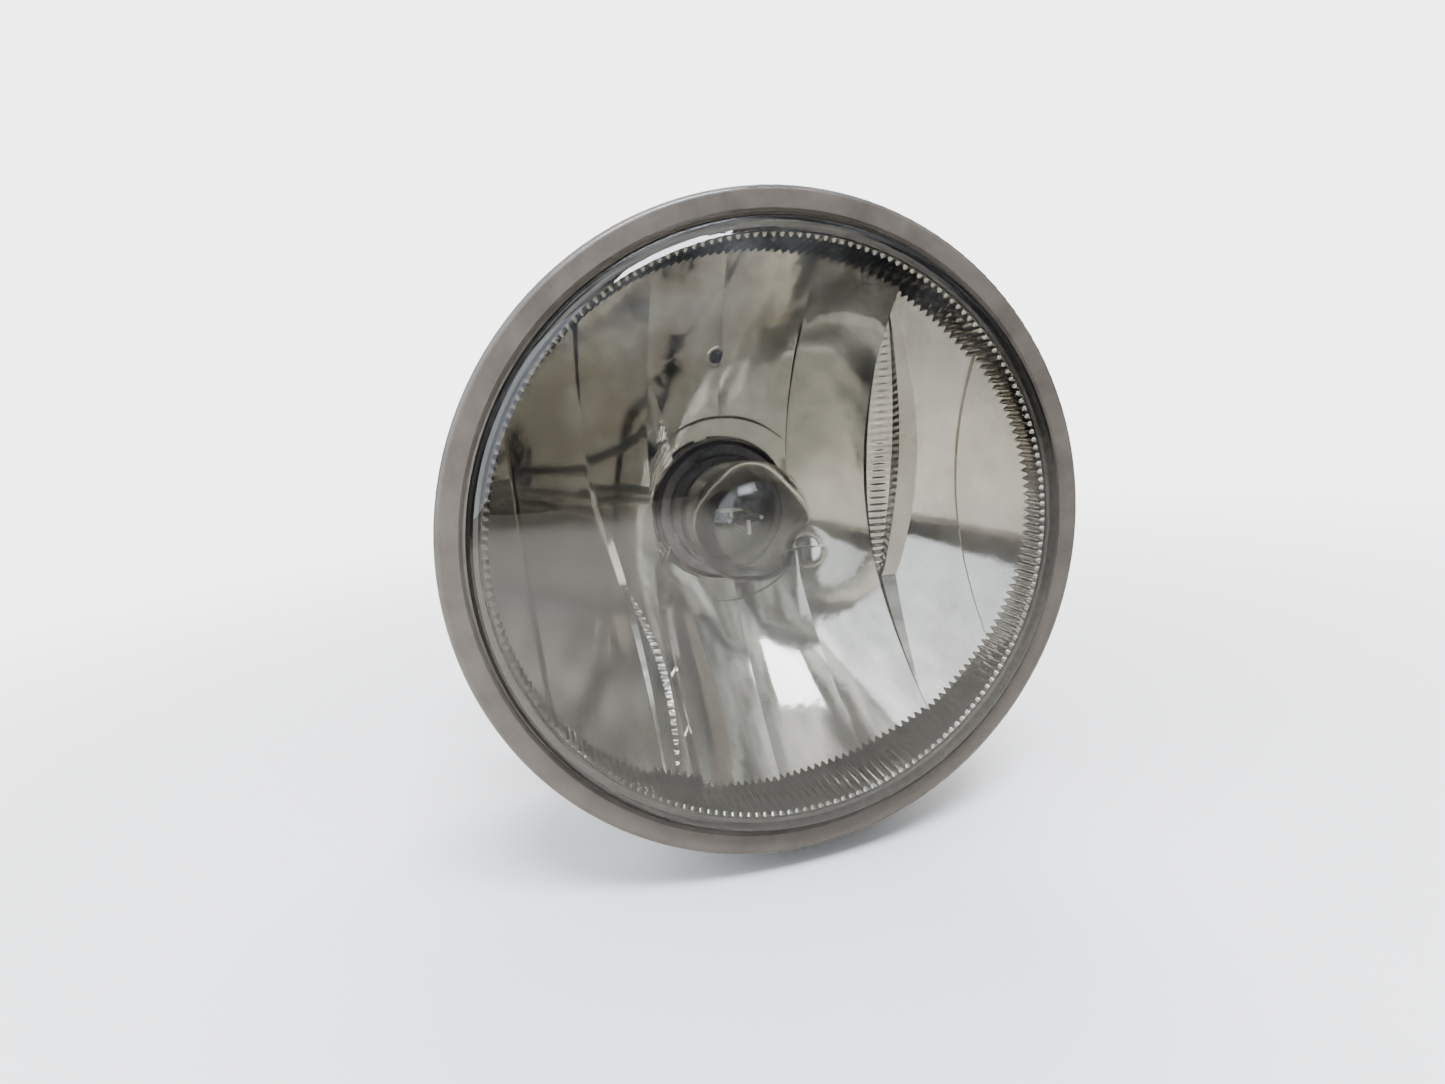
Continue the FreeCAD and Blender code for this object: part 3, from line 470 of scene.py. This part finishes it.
@dataclass
class MirrorBowl:
    """The metallised bowl: leaning mirror strips, ribbed slopes, fluted wall, neck and posts."""

    vertex_depth: float = 38.4
    bowl_x: float = 56.4
    bowl_z: float = 71.3
    wall_radius: float = 43.45
    wall_draft: float = 0.65
    rim_radius: float = 44.2
    rim_front: float = 0.2
    flute_count: int = 208
    flute_depth: float = 0.55
    neck_inner: float = 12.6
    neck_outer: float = 17.0
    neck_depth: float = 50.0
    ledge_height: float = 32.0
    spy_x: float = -0.7
    spy_z: float = 27.9
    spy_radius: float = 1.1
    post_circle: float = 23.8
    post_radius: float = 3.4
    post_front: float = 34.0
    post_back: float = 40.4
    post_hole: float = 1.5
    post_floor: float = 35.0
    post_angles: tuple[int, ...] = (90, 210, 330)
    ledge_drop: float = 0.5
    ledge_lean: float = 0.06
    ledge_strips: tuple[int, ...] = (3, 4, 5)
    edge_overlap: float = 0.45
    neck_gap: float = 0.25
    side_nudge: float = 0.002
    skin_gap: float = 2.2
    cone_depth: float = 12.6
    cone_radius: float = 44.1
    cone_slope: float = 0.593
    edges: tuple[Edge, ...] = (
        Edge(-43.8),
        Edge(-37.7, -1.0),
        Edge(-25.0, -2.0, 0.6),
        Edge(-13.6, 0.2, -0.7),
        Edge(0.9, -0.3, -1.9),
        Edge(10.9, -3.2),
        Edge(12.9, -0.5, 0.7),
        Edge(24.8, -0.5, 0.8),
        Edge(36.6),
        Edge(43.8),
    )
    strips: tuple[Strip, ...] = (
        Strip((0, 1), 0.2, 0.4, 0.02, 0.1),
        Strip((1, 2), -0.25, 0.5, 0.05, 0.2),
        Strip((2, 3), 0.35, -1.2, -0.04, 0.2),
        Strip((3, 4), -0.2, 0.5, 0.05, 0.3),
        Strip((4, 6), 0.2, 0.1, 0.02, 0.35),
        Strip((4, 6), 0.2, 0.1, 0.02, 0.35, 0.07),
        Strip((6, 7), -0.25, -0.5, -0.05, 0.3),
        Strip((7, 8), 0.3, 0.6, 0.05, 0.2),
        Strip((8, 9), -0.1, -0.2, 0.0, 0.1),
    )
    ramps: dict[int, tuple[Ramp, ...]] = field(default_factory=lambda: {
        2: (Ramp(-47.0, 10.0, 4.4, 1.3), Ramp(-46.0, -12.0, 3.6, 1.2, rib=0.09)),
        3: (Ramp(-9.0, 26.0, 5.4, 1.5, 0.4, 0.07),),
        7: (Ramp(-14.0, 32.0, 4.2, 1.5, rib=0.08), Ramp(-32.0, 37.0, 3.4, 0.5)),
    })

    def depth(self, x: float, z: float, number: int) -> float:
        """Depth of a strip's face.

        Args:
            x: Place across the bowl.
            z: Height in the bowl.
            number: Which strip.

        Returns:
            Depth behind the lip plane in millimetres.
        """
        strip = self.strips[number]
        left, right = self.edges[strip.span[0]].x(z), self.edges[strip.span[1]].x(z)
        share = min(max((x - left) / (right - left), 0.0), 1.0) * 2 - 1
        bowl = x * x / self.bowl_x + z * z / self.bowl_z
        fade = min(math.hypot(x, z) / 20.0, 1.0)
        step = strip.offset + strip.lean * z / 40.0 + strip.turn * share * 6.0
        ledge = 0.0
        if z > self.ledge_height and number in self.ledge_strips:
            ledge = -self.ledge_drop - self.ledge_lean * (z - self.ledge_height)
        fold = strip.crease * max(x - self.edges[number].x(z), 0.0) * min(max(z / 15.0, 0.0), 1.0)
        return (self.vertex_depth - bowl + step * fade + strip.belly * (1 - share * share)
                + ledge + fold)

    def solve(self, line: Callable[[float], float], radius: float, sign: int) -> float:
        """Finds where a line crosses a circle about the axis.

        Args:
            line: X of the line at a height.
            radius: Radius of the circle.
            sign: 1 for the upper crossing, -1 for the lower one.

        Returns:
            Height of the crossing, or 0 where the line misses the circle.
        """
        z = 0.0
        for _ in range(30):
            x = line(z)
            inside = radius * radius - x * x
            z = sign * math.sqrt(inside) if inside > 0 else 0.0
        return z

    def column(self, line: Callable[[float], float], band: int, count: int) -> list[float]:
        """Heights of the points along one line of a band.

        Args:
            line: X of the line at a height.
            band: 0 below the neck, 1 from the neck to the ledge, 2 above the ledge.
            count: Number of points.

        Returns:
            Heights from low to high.
        """
        reach = self.wall_radius + self.edge_overlap
        rim_of_neck = self.neck_inner + self.neck_gap
        top = max(self.solve(line, reach, 1), 0.0)
        if band == 0:
            low, high = self.solve(line, reach, -1), self.solve(line, rim_of_neck, -1)
        elif band == 1:
            low = self.solve(line, rim_of_neck, 1)
            high = min(top, self.ledge_height)
        else:
            low, high = min(top, self.ledge_height), top
        return [low + (high - low) * place / (count - 1) for place in range(count)]

    def patch(
        self, shape: Shape, left: Callable[[float], float], right: Callable[[float], float],
        face: Callable[[float, float], float], band: int, columns: int, count: int,
    ) -> tuple[list[Vector], list[Vector]]:
        """Adds the part of a strip or a slope that lies in one band.

        Args:
            shape: Gathers the points.
            left: X of the left side at a height.
            right: X of the right side at a height.
            face: Depth of the face at X and Z.
            band: Which band of height.
            columns: Points across.
            count: Points up.

        Returns:
            The points of the left and right sides.
        """
        lines: list[list[Vector]] = []
        for step in range(columns):
            share = step / (columns - 1)

            def line(z: float, share: float = share) -> float:
                return left(z) + (right(z) - left(z)) * share

            heights = self.column(line, band, count)
            nudge = self.side_nudge if band == 2 else -self.side_nudge
            lines.append([
                at(line(z), face(line(z), z + (nudge if abs(z - self.ledge_height) < 1e-6 else 0)),
                   z)
                for z in heights
            ])
        shape.rows(lines)
        return lines[0], lines[-1]

    def slope(
        self, ramp: Ramp, left: Callable[[float], float], right: Callable[[float], float],
        number: int,
    ) -> Callable[[float, float], float]:
        """The face of a slope that rises from its left side to the strip at its right.

        Args:
            ramp: The slope's shape.
            left: X of its left side at a height.
            right: X of its right side at a height.
            number: Which strip it belongs to.

        Returns:
            Depth of the slope at X and Z.
        """
        def face(x: float, z: float) -> float:
            width = right(z) - left(z)
            if width < 1e-6:
                return self.depth(x, z, number)
            share = min(max((x - left(z)) / width, 0.0), 1.0)
            ribs = ramp.rib * math.sin(math.tau * z / ramp.rib_pitch) * min(width, 1.0)
            drop = ramp.drop * width / ramp.width
            return (self.depth(right(z), z, number) + drop * (1 - share)
                    + ribs * 4 * share * (1 - share))

        return face

    def facets(self, shape: Shape) -> None:
        """Adds every strip, slope and the small walls between them.

        Args:
            shape: Gathers the points.
        """
        for band, count in ((0, 240), (1, 240), (2, 60)):
            previous: list[Vector] | None = None
            for number in range(len(self.strips)):
                left = self.edges[number].x
                for ramp in self.ramps.get(number, ()):

                    def right(
                        z: float, left: Callable[[float], float] = left, ramp: Ramp = ramp
                    ) -> float:
                        return left(z) + ramp.reach(z)

                    low, high = self.patch(shape, left, right,
                                           self.slope(ramp, left, right, number), band, 7, count)
                    if previous is not None:
                        shape.rows([previous, low])
                    previous, left = high, right
                low, high = self.patch(
                    shape, left, self.edges[number + 1].x,
                    lambda x, z, number=number: self.depth(x, z, number), band, 18, count)
                if previous is not None:
                    shape.rows([previous, low])
                previous = high

    def ledge(self, shape: Shape) -> None:
        """Adds the small wall of the ledge across the middle strips.

        Args:
            shape: Gathers the points.
        """
        for number in self.ledge_strips:
            left, right = self.edges[number], self.edges[number + 1]
            z = self.ledge_height
            xs = [left.x(z) + (right.x(z) - left.x(z)) * step / 19 for step in range(20)]
            shape.rows([[at(x, self.depth(x, z + nudge, number), z) for x in xs]
                        for nudge in (-self.side_nudge, self.side_nudge)])

    def fluted_wall(self, shape: Shape) -> None:
        """Adds the side wall with its flutes, from the rim back past the mirror's edge.

        Args:
            shape: Gathers the points.
        """
        steps = self.flute_count * 8
        rows = []
        for level, depth in enumerate((0.5, 0.9, 3.0, 6.0, 9.0, 12.0, 13.4)):
            row = []
            for step in range(steps):
                angle = math.tau * step / steps
                wave = 0.5 - 0.5 * math.cos(angle * self.flute_count)
                radius = self.wall_radius + self.wall_draft * (1 - depth / 13.4)
                radius -= self.flute_depth * wave if level else 0.0
                row.append(at(radius * math.cos(angle), depth, radius * math.sin(angle)))
            rows.append(row)
        shape.rows(rows, looped=True)

    def skin_depth(self, x: float, z: float) -> float:
        """Finds the depth of the rear skin, which stays clear of the housing's cone.

        Args:
            x: Place across the bowl.
            z: Height in the bowl.

        Returns:
            Depth behind the lip plane in millimetres.
        """
        skin = self.vertex_depth + self.skin_gap - x * x / self.bowl_x - z * z / self.bowl_z
        cone = self.cone_depth + (self.cone_radius - math.hypot(x, z)) / self.cone_slope
        return max(min(skin, cone), 1.5)

    def rear_skin(self, shape: Shape) -> None:
        """Adds the skin behind the strips.

        Args:
            shape: Gathers the points.
        """
        rows = []
        for ring in range(25):
            radius = self.rim_radius + (self.neck_outer - self.rim_radius) * ring / 24
            rows.append([
                at(x, self.skin_depth(x, z), z)
                for x, z in ((radius * math.cos(math.tau * step / 240),
                              radius * math.sin(math.tau * step / 240)) for step in range(240))
            ])
        shape.rows(rows, looped=True)

    def shell(self, shape: Shape) -> None:
        """Adds the rim, the neck and the screw posts.

        Args:
            shape: Gathers the points.
        """
        front = self.rim_front
        shape.turned([(self.rim_radius - 0.12, front + 0.3), (self.rim_radius - 0.1, front),
                      (self.rim_radius, front + 0.1), (self.rim_radius, 1.5)], 240)
        inner = self.neck_inner
        shape.turned([
            (self.neck_outer, self.post_front), (self.neck_outer, self.neck_depth),
            (inner, self.neck_depth), (inner, 36.4), (inner + 0.1, 35.8), (inner + 0.4, 35.5),
            (inner + 0.7, 35.8), (inner + 0.7, 37.2),
        ], 180)
        for turn in self.post_angles:
            angle = math.radians(turn)
            shape.turned([(self.post_radius, self.post_front), (self.post_radius, self.post_back),
                          (self.post_hole, self.post_back), (self.post_hole, self.post_floor),
                          (0.01, self.post_floor)], 48,
                         self.post_circle * math.cos(angle), self.post_circle * math.sin(angle))

    def spy_hole(self, shape: Shape) -> None:
        """Adds the lip and the short bore of the small hole above the bulb.

        Args:
            shape: Gathers the points.
        """
        rows = []
        for radius, back in ((1.85, 0.05), (1.6, -0.12), (1.25, -0.12), (self.spy_radius, 0.05),
                             (self.spy_radius, 2.9)):
            row = []
            for step in range(40):
                angle = math.tau * step / 40
                x = self.spy_x + radius * math.cos(angle)
                z = self.spy_z + radius * math.sin(angle)
                number = 3 if x < self.edges[4].x(z) else 4
                row.append(at(x, self.depth(x, z, number) + back, z))
            rows.append(row)
        shape.rows(rows, looped=True)

    def build(self) -> bpy.types.Object:
        """Builds the bowl and stands it in for the plain CAD one.

        Returns:
            The bowl's object.
        """
        faces = Shape()
        self.facets(faces)
        self.ledge(faces)
        self.rear_skin(faces)
        kept = Shape(faces.points)
        for face in faces.faces:
            middle = sum((faces.points[corner] for corner in face), Vector()) / len(face)
            if math.hypot(middle.x - self.spy_x, middle.z - self.spy_z) > self.spy_radius + 0.3:
                kept.faces.append(face)
        self.fluted_wall(kept)
        self.shell(kept)
        self.spy_hole(kept)
        bowl = kept.to_object("mirror_bowl", MIRROR_COAT, "lamp_unit", 18.0)
        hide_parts("reflector")
        return bowl


# ------------------------------------------------------------------ bulb
@dataclass
class Bulb:
    """The blown glass envelope and the coiled filament on its two wires."""

    glass_radius: float = 10.3
    wall: float = 0.9
    shoulder: float = 18.2
    apex: float = 10.2
    foot: float = 39.5
    coil_depth: float = 21.5
    coil_half: float = 2.6
    coil_radius: float = 0.6
    turns: int = 15
    wire: float = 0.09

    def dome(self, radius: float, apex: float) -> list[tuple[float, float]]:
        """Lists the rings of a rounded dome, from its top to its shoulder.

        Args:
            radius: Radius at the shoulder.
            apex: Depth of the dome's top.

        Returns:
            Radius and depth of each ring.
        """
        rings = []
        for step in range(25):
            angle = math.pi / 2 * step / 24
            rings.append((max(radius * math.sin(angle), 0.01),
                          self.shoulder - (self.shoulder - apex) * math.cos(angle)))
        return rings

    def glass(self) -> bpy.types.Object:
        """Builds the envelope with an uneven inner wall, as blown glass has.

        Returns:
            The envelope's object.
        """
        shape = Shape()
        shape.turned([*self.dome(self.glass_radius, self.apex),
                      (self.glass_radius, 26.0), (self.glass_radius, 32.0),
                      (self.glass_radius - 0.3, 37.0), (self.glass_radius - 1.2, self.foot)], 128)
        rows = []
        inner = [*self.dome(self.glass_radius - self.wall, self.apex + self.wall),
                 (self.glass_radius - self.wall, 26.0), (self.glass_radius - self.wall, 32.0),
                 (self.glass_radius - self.wall - 0.3, 37.0),
                 (self.glass_radius - 1.2, self.foot)]
        for level, (radius, depth) in enumerate(inner):
            row = []
            for step in range(128):
                angle = math.tau * step / 128
                share = min(level / 20, 1.0) if depth < 37 else 0.0
                wave = 0.16 * math.sin(3 * angle + depth * 0.35) + 0.1 * math.sin(
                    5 * angle - depth * 0.5)
                reach = radius - (wave + 0.12) * share
                row.append(at(reach * math.cos(angle), depth, reach * math.sin(angle)))
            rows.append(row)
        shape.rows(rows, looped=True)
        envelope = shape.to_object("bulb_envelope", BULB_GLASS, "bulb", 60.0)
        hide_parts("bulb_glass")
        return envelope

    def coil(self) -> bpy.types.Object:
        """Winds the filament as a real helix of thin wire.

        Returns:
            The coil's object.
        """
        shape = Shape()
        steps = self.turns * 20
        rows = []
        for step in range(steps + 1):
            angle = math.tau * step / 20
            x = -self.coil_half + 2 * self.coil_half * step / steps
            radial = Vector((0, math.cos(angle), math.sin(angle)))
            along = Vector((2 * self.coil_half / self.turns / math.tau, 0, 0)) + Vector(
                (0, -math.sin(angle), math.cos(angle))) * self.coil_radius
            side = along.normalized().cross(radial)
            centre = at(x, self.coil_depth, 0) + radial * (self.coil_radius - self.wire)
            rows.append([
                centre + (radial * math.cos(math.tau * turn / 8)
                          + side * math.sin(math.tau * turn / 8)) * self.wire
                for turn in range(8)
            ])
        shape.rows(rows, looped=True)
        coil = shape.to_object("filament_coil", TUNGSTEN, "bulb", 80.0)
        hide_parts("bulb_filament")
        return coil

    def build(self) -> list[bpy.types.Object]:
        """Builds the glass and the coil.

        Returns:
            Both objects.
        """
        return [self.glass(), self.coil()]


# ------------------------------------------------------------------ aim screw
@dataclass
class AimScrew:
    """The long screw that tilts the lamp: rolled thread, journal, flange and hexagon head."""

    drop: float = 46.5
    tip: float = 23.0
    thread_radius: float = 2.5
    pitch: float = 0.8
    journal: float = 3.0
    clip: float = 52.2
    shoulder: float = 57.4
    flange: float = 6.6
    head: float = 58.9
    head_back: float = 64.5

    def thread(self, shape: Shape) -> None:
        """Adds the rolled thread from the tip to the journal.

        Args:
            shape: Gathers the points.
        """
        end = self.clip - 1.5
        rows = [[at(0, self.tip, -self.drop)] * 40]
        count = int((end - self.tip) / self.pitch * 8)
        for step in range(count + 1):
            depth = self.tip + (end - self.tip) * step / count
            lead = min((depth - self.tip) / 1.2, 1.0)
            row = []
            for turn in range(40):
                phase = (depth / self.pitch + turn / 40) % 1.0
                groove = abs(phase - 0.5) * 2
                radius = (self.thread_radius - 0.42 * groove) * (0.75 + 0.25 * lead)
                angle = math.tau * turn / 40
                row.append(at(radius * math.cos(angle), depth,
                              radius * math.sin(angle) - self.drop))
            rows.append(row)
        shape.rows(rows, looped=True)

    def hexagon(self, shape: Shape) -> None:
        """Adds the chamfered hexagon head with a round recess.

        Args:
            shape: Gathers the points.
        """
        apothem = (self.flange - 1.4) * math.cos(math.pi / 6)
        levels = ((self.head, 9.0), (self.head_back - 0.6, 9.0), (self.head_back, 4.55))
        rows = []
        for depth, cap in levels:
            row = []
            for step in range(96):
                angle = math.tau * step / 96
                fold = (angle % (math.pi / 3)) - math.pi / 6
                radius = min(apothem / math.cos(fold), cap)
                row.append(at(radius * math.cos(angle), depth,
                              radius * math.sin(angle) - self.drop))
            rows.append(row)
        for radius, depth in ((2.0, self.head_back), (2.0, self.head_back - 3.0),
                              (0.01, self.head_back - 3.0)):
            rows.append([at(radius * math.cos(math.tau * step / 96), depth,
                            radius * math.sin(math.tau * step / 96) - self.drop)
                         for step in range(96)])
        shape.rows(rows, looped=True)

    def build(self) -> bpy.types.Object:
        """Builds the screw and stands it in for the plain CAD one.

        Returns:
            The screw's object.
        """
        shape = Shape()
        self.thread(shape)
        shape.turned([
            (self.thread_radius - 0.4, self.clip - 1.5), (self.journal, self.clip - 1.3),
            (self.journal, self.clip), (2.1, self.clip), (2.1, self.clip + 0.8),
            (self.journal, self.clip + 0.8), (self.journal, self.shoulder),
            (self.flange, self.shoulder), (self.flange, self.head - 0.2),
            (self.flange - 0.2, self.head), (0.01, self.head),
        ], 72, 0.0, -self.drop)
        self.hexagon(shape)
        screw = shape.to_object("aim_screw_threaded", ZINC_PLATE, "aim_screw", 30.0)
        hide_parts("adjuster_screw")
        return screw


# ------------------------------------------------------------------ CAD pieces
@dataclass
class CadPieces:
    """The CAD nodes that keep their own mesh."""

    finishes: dict[str, Finish]

    def dress(self) -> None:
        """Gives each node its finish in every material slot."""
        for name, finish in self.finishes.items():
            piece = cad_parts[name]
            materials = piece.data.materials
            if not materials:
                materials.append(None)
            for slot in range(len(materials)):
                materials[slot] = finish.material()
            LOG.info("%s: finish %s", name, finish.name)


# ------------------------------------------------------------------ studio
@dataclass
class Studio:
    """Pale floor, soft lights, even surround and the camera."""

    camera_at: tuple[float, float, float] = (-0.04381, -0.19991, 0.02567)
    azimuth: float = -14.61
    elevation: float = 10.542
    roll: float = -5.568
    focal_px: float = 918.96
    image_width: int = 1445
    white_level: float = 4.5

    def floor(self) -> bpy.types.Object:
        """Lays the pale floor just under the lamp, wide enough that its edge melts away.

        Returns:
            The floor's object.
        """
        low = CAD_BOX[0].z - FLOOR_GAP
        reach = 12.0
        mesh = bpy.data.meshes.new("studio_floor")
        mesh.from_pydata([(-reach, -reach, low), (reach, -reach, low), (reach, reach, low),
                          (-reach, reach, low)], [], [(0, 1, 2, 3)])
        floor = bpy.data.objects.new("studio_floor", mesh)
        bpy.context.scene.collection.objects.link(floor)
        mesh.materials.append(self.sweep_paper())
        return floor

    def sweep_paper(self) -> bpy.types.Material:
        """Makes the floor's paper: white to the eye, a dim room's floor in the mirror.

        Returns:
            The floor's material.
        """
        # Matt paper: lit round the lamp and blown out to plain white further off, so that no line
        # shows where it ends; other rays meet a warm grey floor that is darker on the right.
        made = bpy.data.materials.new("matt_floor_paper")
        made.use_nodes = True
        tree = made.node_tree
        tree.nodes.clear()
        place = add_node(tree, "ShaderNodeTexCoord")
        path = add_node(tree, "ShaderNodeLightPath")
        split = add_node(tree, "ShaderNodeSeparateXYZ", {}, {"Vector": place.outputs["Object"]})
        across = add_node(tree, "ShaderNodeMapRange", {"From Min": -0.12, "From Max": 0.16},
                          {"Value": split.outputs["X"]})
        dim = add_node(tree, "ShaderNodeValToRGB", {}, {"Fac": across.outputs["Result"]})
        dim.color_ramp.elements[0].color = linear("#e0d8ca")
        dim.color_ramp.elements[1].color = linear("#77726b")
        seen = add_node(tree, "ShaderNodeMixRGB", {"Color2": linear("#f6f5f4")},
                        {"Fac": path.outputs["Is Camera Ray"], "Color1": dim.outputs["Color"]})
        paper = add_node(tree, "ShaderNodeBsdfPrincipled", {"Roughness": 0.85},
                         {"Base Color": seen.outputs["Color"]})
        far = add_node(tree, "ShaderNodeVectorMath", {"operation": "LENGTH"},
                       {"0": place.outputs["Object"]})
        fade = add_node(tree, "ShaderNodeMapRange",
                        {"interpolation_type": "SMOOTHSTEP", "From Min": 0.08, "From Max": 0.4},
                        {"Value": far.outputs["Value"]})
        share = add_node(tree, "ShaderNodeMath", {"operation": "MULTIPLY"},
                         {"0": fade.outputs["Result"], "1": path.outputs["Is Camera Ray"]})
        white = add_node(tree, "ShaderNodeEmission",
                         {"Color": linear("#ffffff"), "Strength": self.white_level})
        mixed = add_node(tree, "ShaderNodeMixShader", {},
                         {"0": share.outputs["Value"], "1": paper.outputs["BSDF"],
                          "2": white.outputs["Emission"]})
        add_node(tree, "ShaderNodeOutputMaterial", {}, {"Surface": mixed.outputs["Shader"]})
        return made

    def surround(self) -> None:
        """Sets a soft, patchy surround: bright above, darker around and to the right."""
        world = bpy.data.worlds.new("studio_surround")
        bpy.context.scene.world = world
        world.use_nodes = True
        tree = world.node_tree
        tree.nodes.clear()
        place = add_node(tree, "ShaderNodeTexCoord")
        split = add_node(tree, "ShaderNodeSeparateXYZ", {}, {"Vector": place.outputs["Generated"]})
        height = add_node(tree, "ShaderNodeMapRange", {"From Min": -1.0, "From Max": 1.0},
                          {"Value": split.outputs["Z"]})
        tall = add_node(tree, "ShaderNodeValToRGB", {}, {"Fac": height.outputs["Result"]})
        ramp = tall.color_ramp
        ramp.elements[0].position, ramp.elements[0].color = 0.0, linear("#b9b4ac")
        ramp.elements[1].position, ramp.elements[1].color = 1.0, linear("#ffffff")
        for position, colour in ((0.44, "#a39c92"), (0.50, "#6b6865"), (0.56, "#4c4e52"),
                                 (0.66, "#6f757d"), (0.82, "#cfd5dc")):
            ramp.elements.new(position).color = linear(colour)
        sideways = add_node(tree, "ShaderNodeMapRange",
                            {"From Min": -0.3, "From Max": 0.9, "To Min": 1.0, "To Max": 0.28},
                            {"Value": split.outputs["X"]})
        patches = add_node(tree, "ShaderNodeTexNoise",
                           {"Scale": 3.6, "Detail": 3.0, "Roughness": 0.55},
                           {"Vector": place.outputs["Generated"]})
        uneven = add_node(tree, "ShaderNodeMapRange",
                          {"From Min": 0.4, "From Max": 0.62, "To Min": 0.45, "To Max": 3.4},
                          {"Value": patches.outputs["Fac"]})
        level = add_node(tree, "ShaderNodeMath", {"operation": "MULTIPLY"},
                         {"0": sideways.outputs["Result"], "1": uneven.outputs["Result"]})
        glow = add_node(tree, "ShaderNodeBackground", {},
                        {"Color": tall.outputs["Color"], "Strength": level.outputs["Value"]})
        plain = add_node(tree, "ShaderNodeBackground",
                         {"Color": linear("#ffffff"), "Strength": self.white_level})
        path = add_node(tree, "ShaderNodeLightPath")
        mixed = add_node(tree, "ShaderNodeMixShader", {},
                         {"0": path.outputs["Is Camera Ray"], "1": glow.outputs["Background"],
                          "2": plain.outputs["Background"]})
        add_node(tree, "ShaderNodeOutputWorld", {}, {"Surface": mixed.outputs["Shader"]})

    def light(
        self, name: str, place: tuple[float, float, float], size: tuple[float, float],
        power: float, colour: str,
    ) -> None:
        """Hangs one soft box aimed at the lamp.

        Args:
            name: Name of the light.
            place: Where it hangs, in metres.
            size: Width and height in metres.
            power: Watts.
            colour: Its colour.
        """
        data = bpy.data.lights.new(name, "AREA")
        data.shape = "RECTANGLE"
        data.size, data.size_y = size
        data.energy = power
        data.color = linear(colour)[:3]
        lamp = bpy.data.objects.new(name, data)
        lamp.location = place
        lamp.rotation_mode = "QUATERNION"
        lamp.rotation_quaternion = (Vector(LIGHTS_AIM) - Vector(place)).to_track_quat("-Z", "Y")
        bpy.context.scene.collection.objects.link(lamp)

    def camera(self) -> None:
        """Stands the camera in front, a little left of and above the lamp's axis."""
        data = bpy.data.cameras.new("camera")
        data.sensor_width = 36.0
        data.lens = self.focal_px * data.sensor_width / self.image_width
        data.clip_start = 0.005
        data.clip_end = 20.0
        turn, rise = math.radians(self.azimuth), math.radians(self.elevation)
        back = Vector((math.sin(turn) * math.cos(rise), -math.cos(turn) * math.cos(rise),
                       math.sin(rise)))
        right = Vector((0, 0, 1)).cross(back).normalized()
        up = back.cross(right)
        lean = math.radians(self.roll)
        right, up = (right * math.cos(lean) + up * math.sin(lean),
                     up * math.cos(lean) - right * math.sin(lean))
        camera = bpy.data.objects.new("camera", data)
        camera.matrix_world = Matrix.Translation(self.camera_at) @ Matrix(
            (right, up, back)).transposed().to_4x4()
        bpy.context.scene.collection.objects.link(camera)
        bpy.context.scene.camera = camera

    def build(self) -> None:
        """Sets up the whole studio."""
        self.floor()
        self.surround()
        self.light("ceiling_box", (0.0, -0.7, 1.0), (0.55, 0.3), 30.0, "#eef4ff")
        self.light("left_box", (-1.0, -0.5, 0.6), (1.3, 1.1), 18.0, "#dfe8f4")
        self.light("rear_box", (0.4, 0.9, 0.9), (0.8, 0.6), 22.0, "#ffffff")
        self.camera()
        LOG.info("studio: floor, surround, three soft boxes and the camera")


def main() -> None:
    """Builds the sub-assemblies in order."""
    logging.basicConfig(level=logging.INFO, format="%(message)s")
    CadPieces(CAD_FINISHES).dress()
    MirrorBowl().build()
    Bulb().build()
    AimScrew().build()
    Studio().build()
    bpy.context.view_layer.update()


if __name__ == "__main__":
    main()
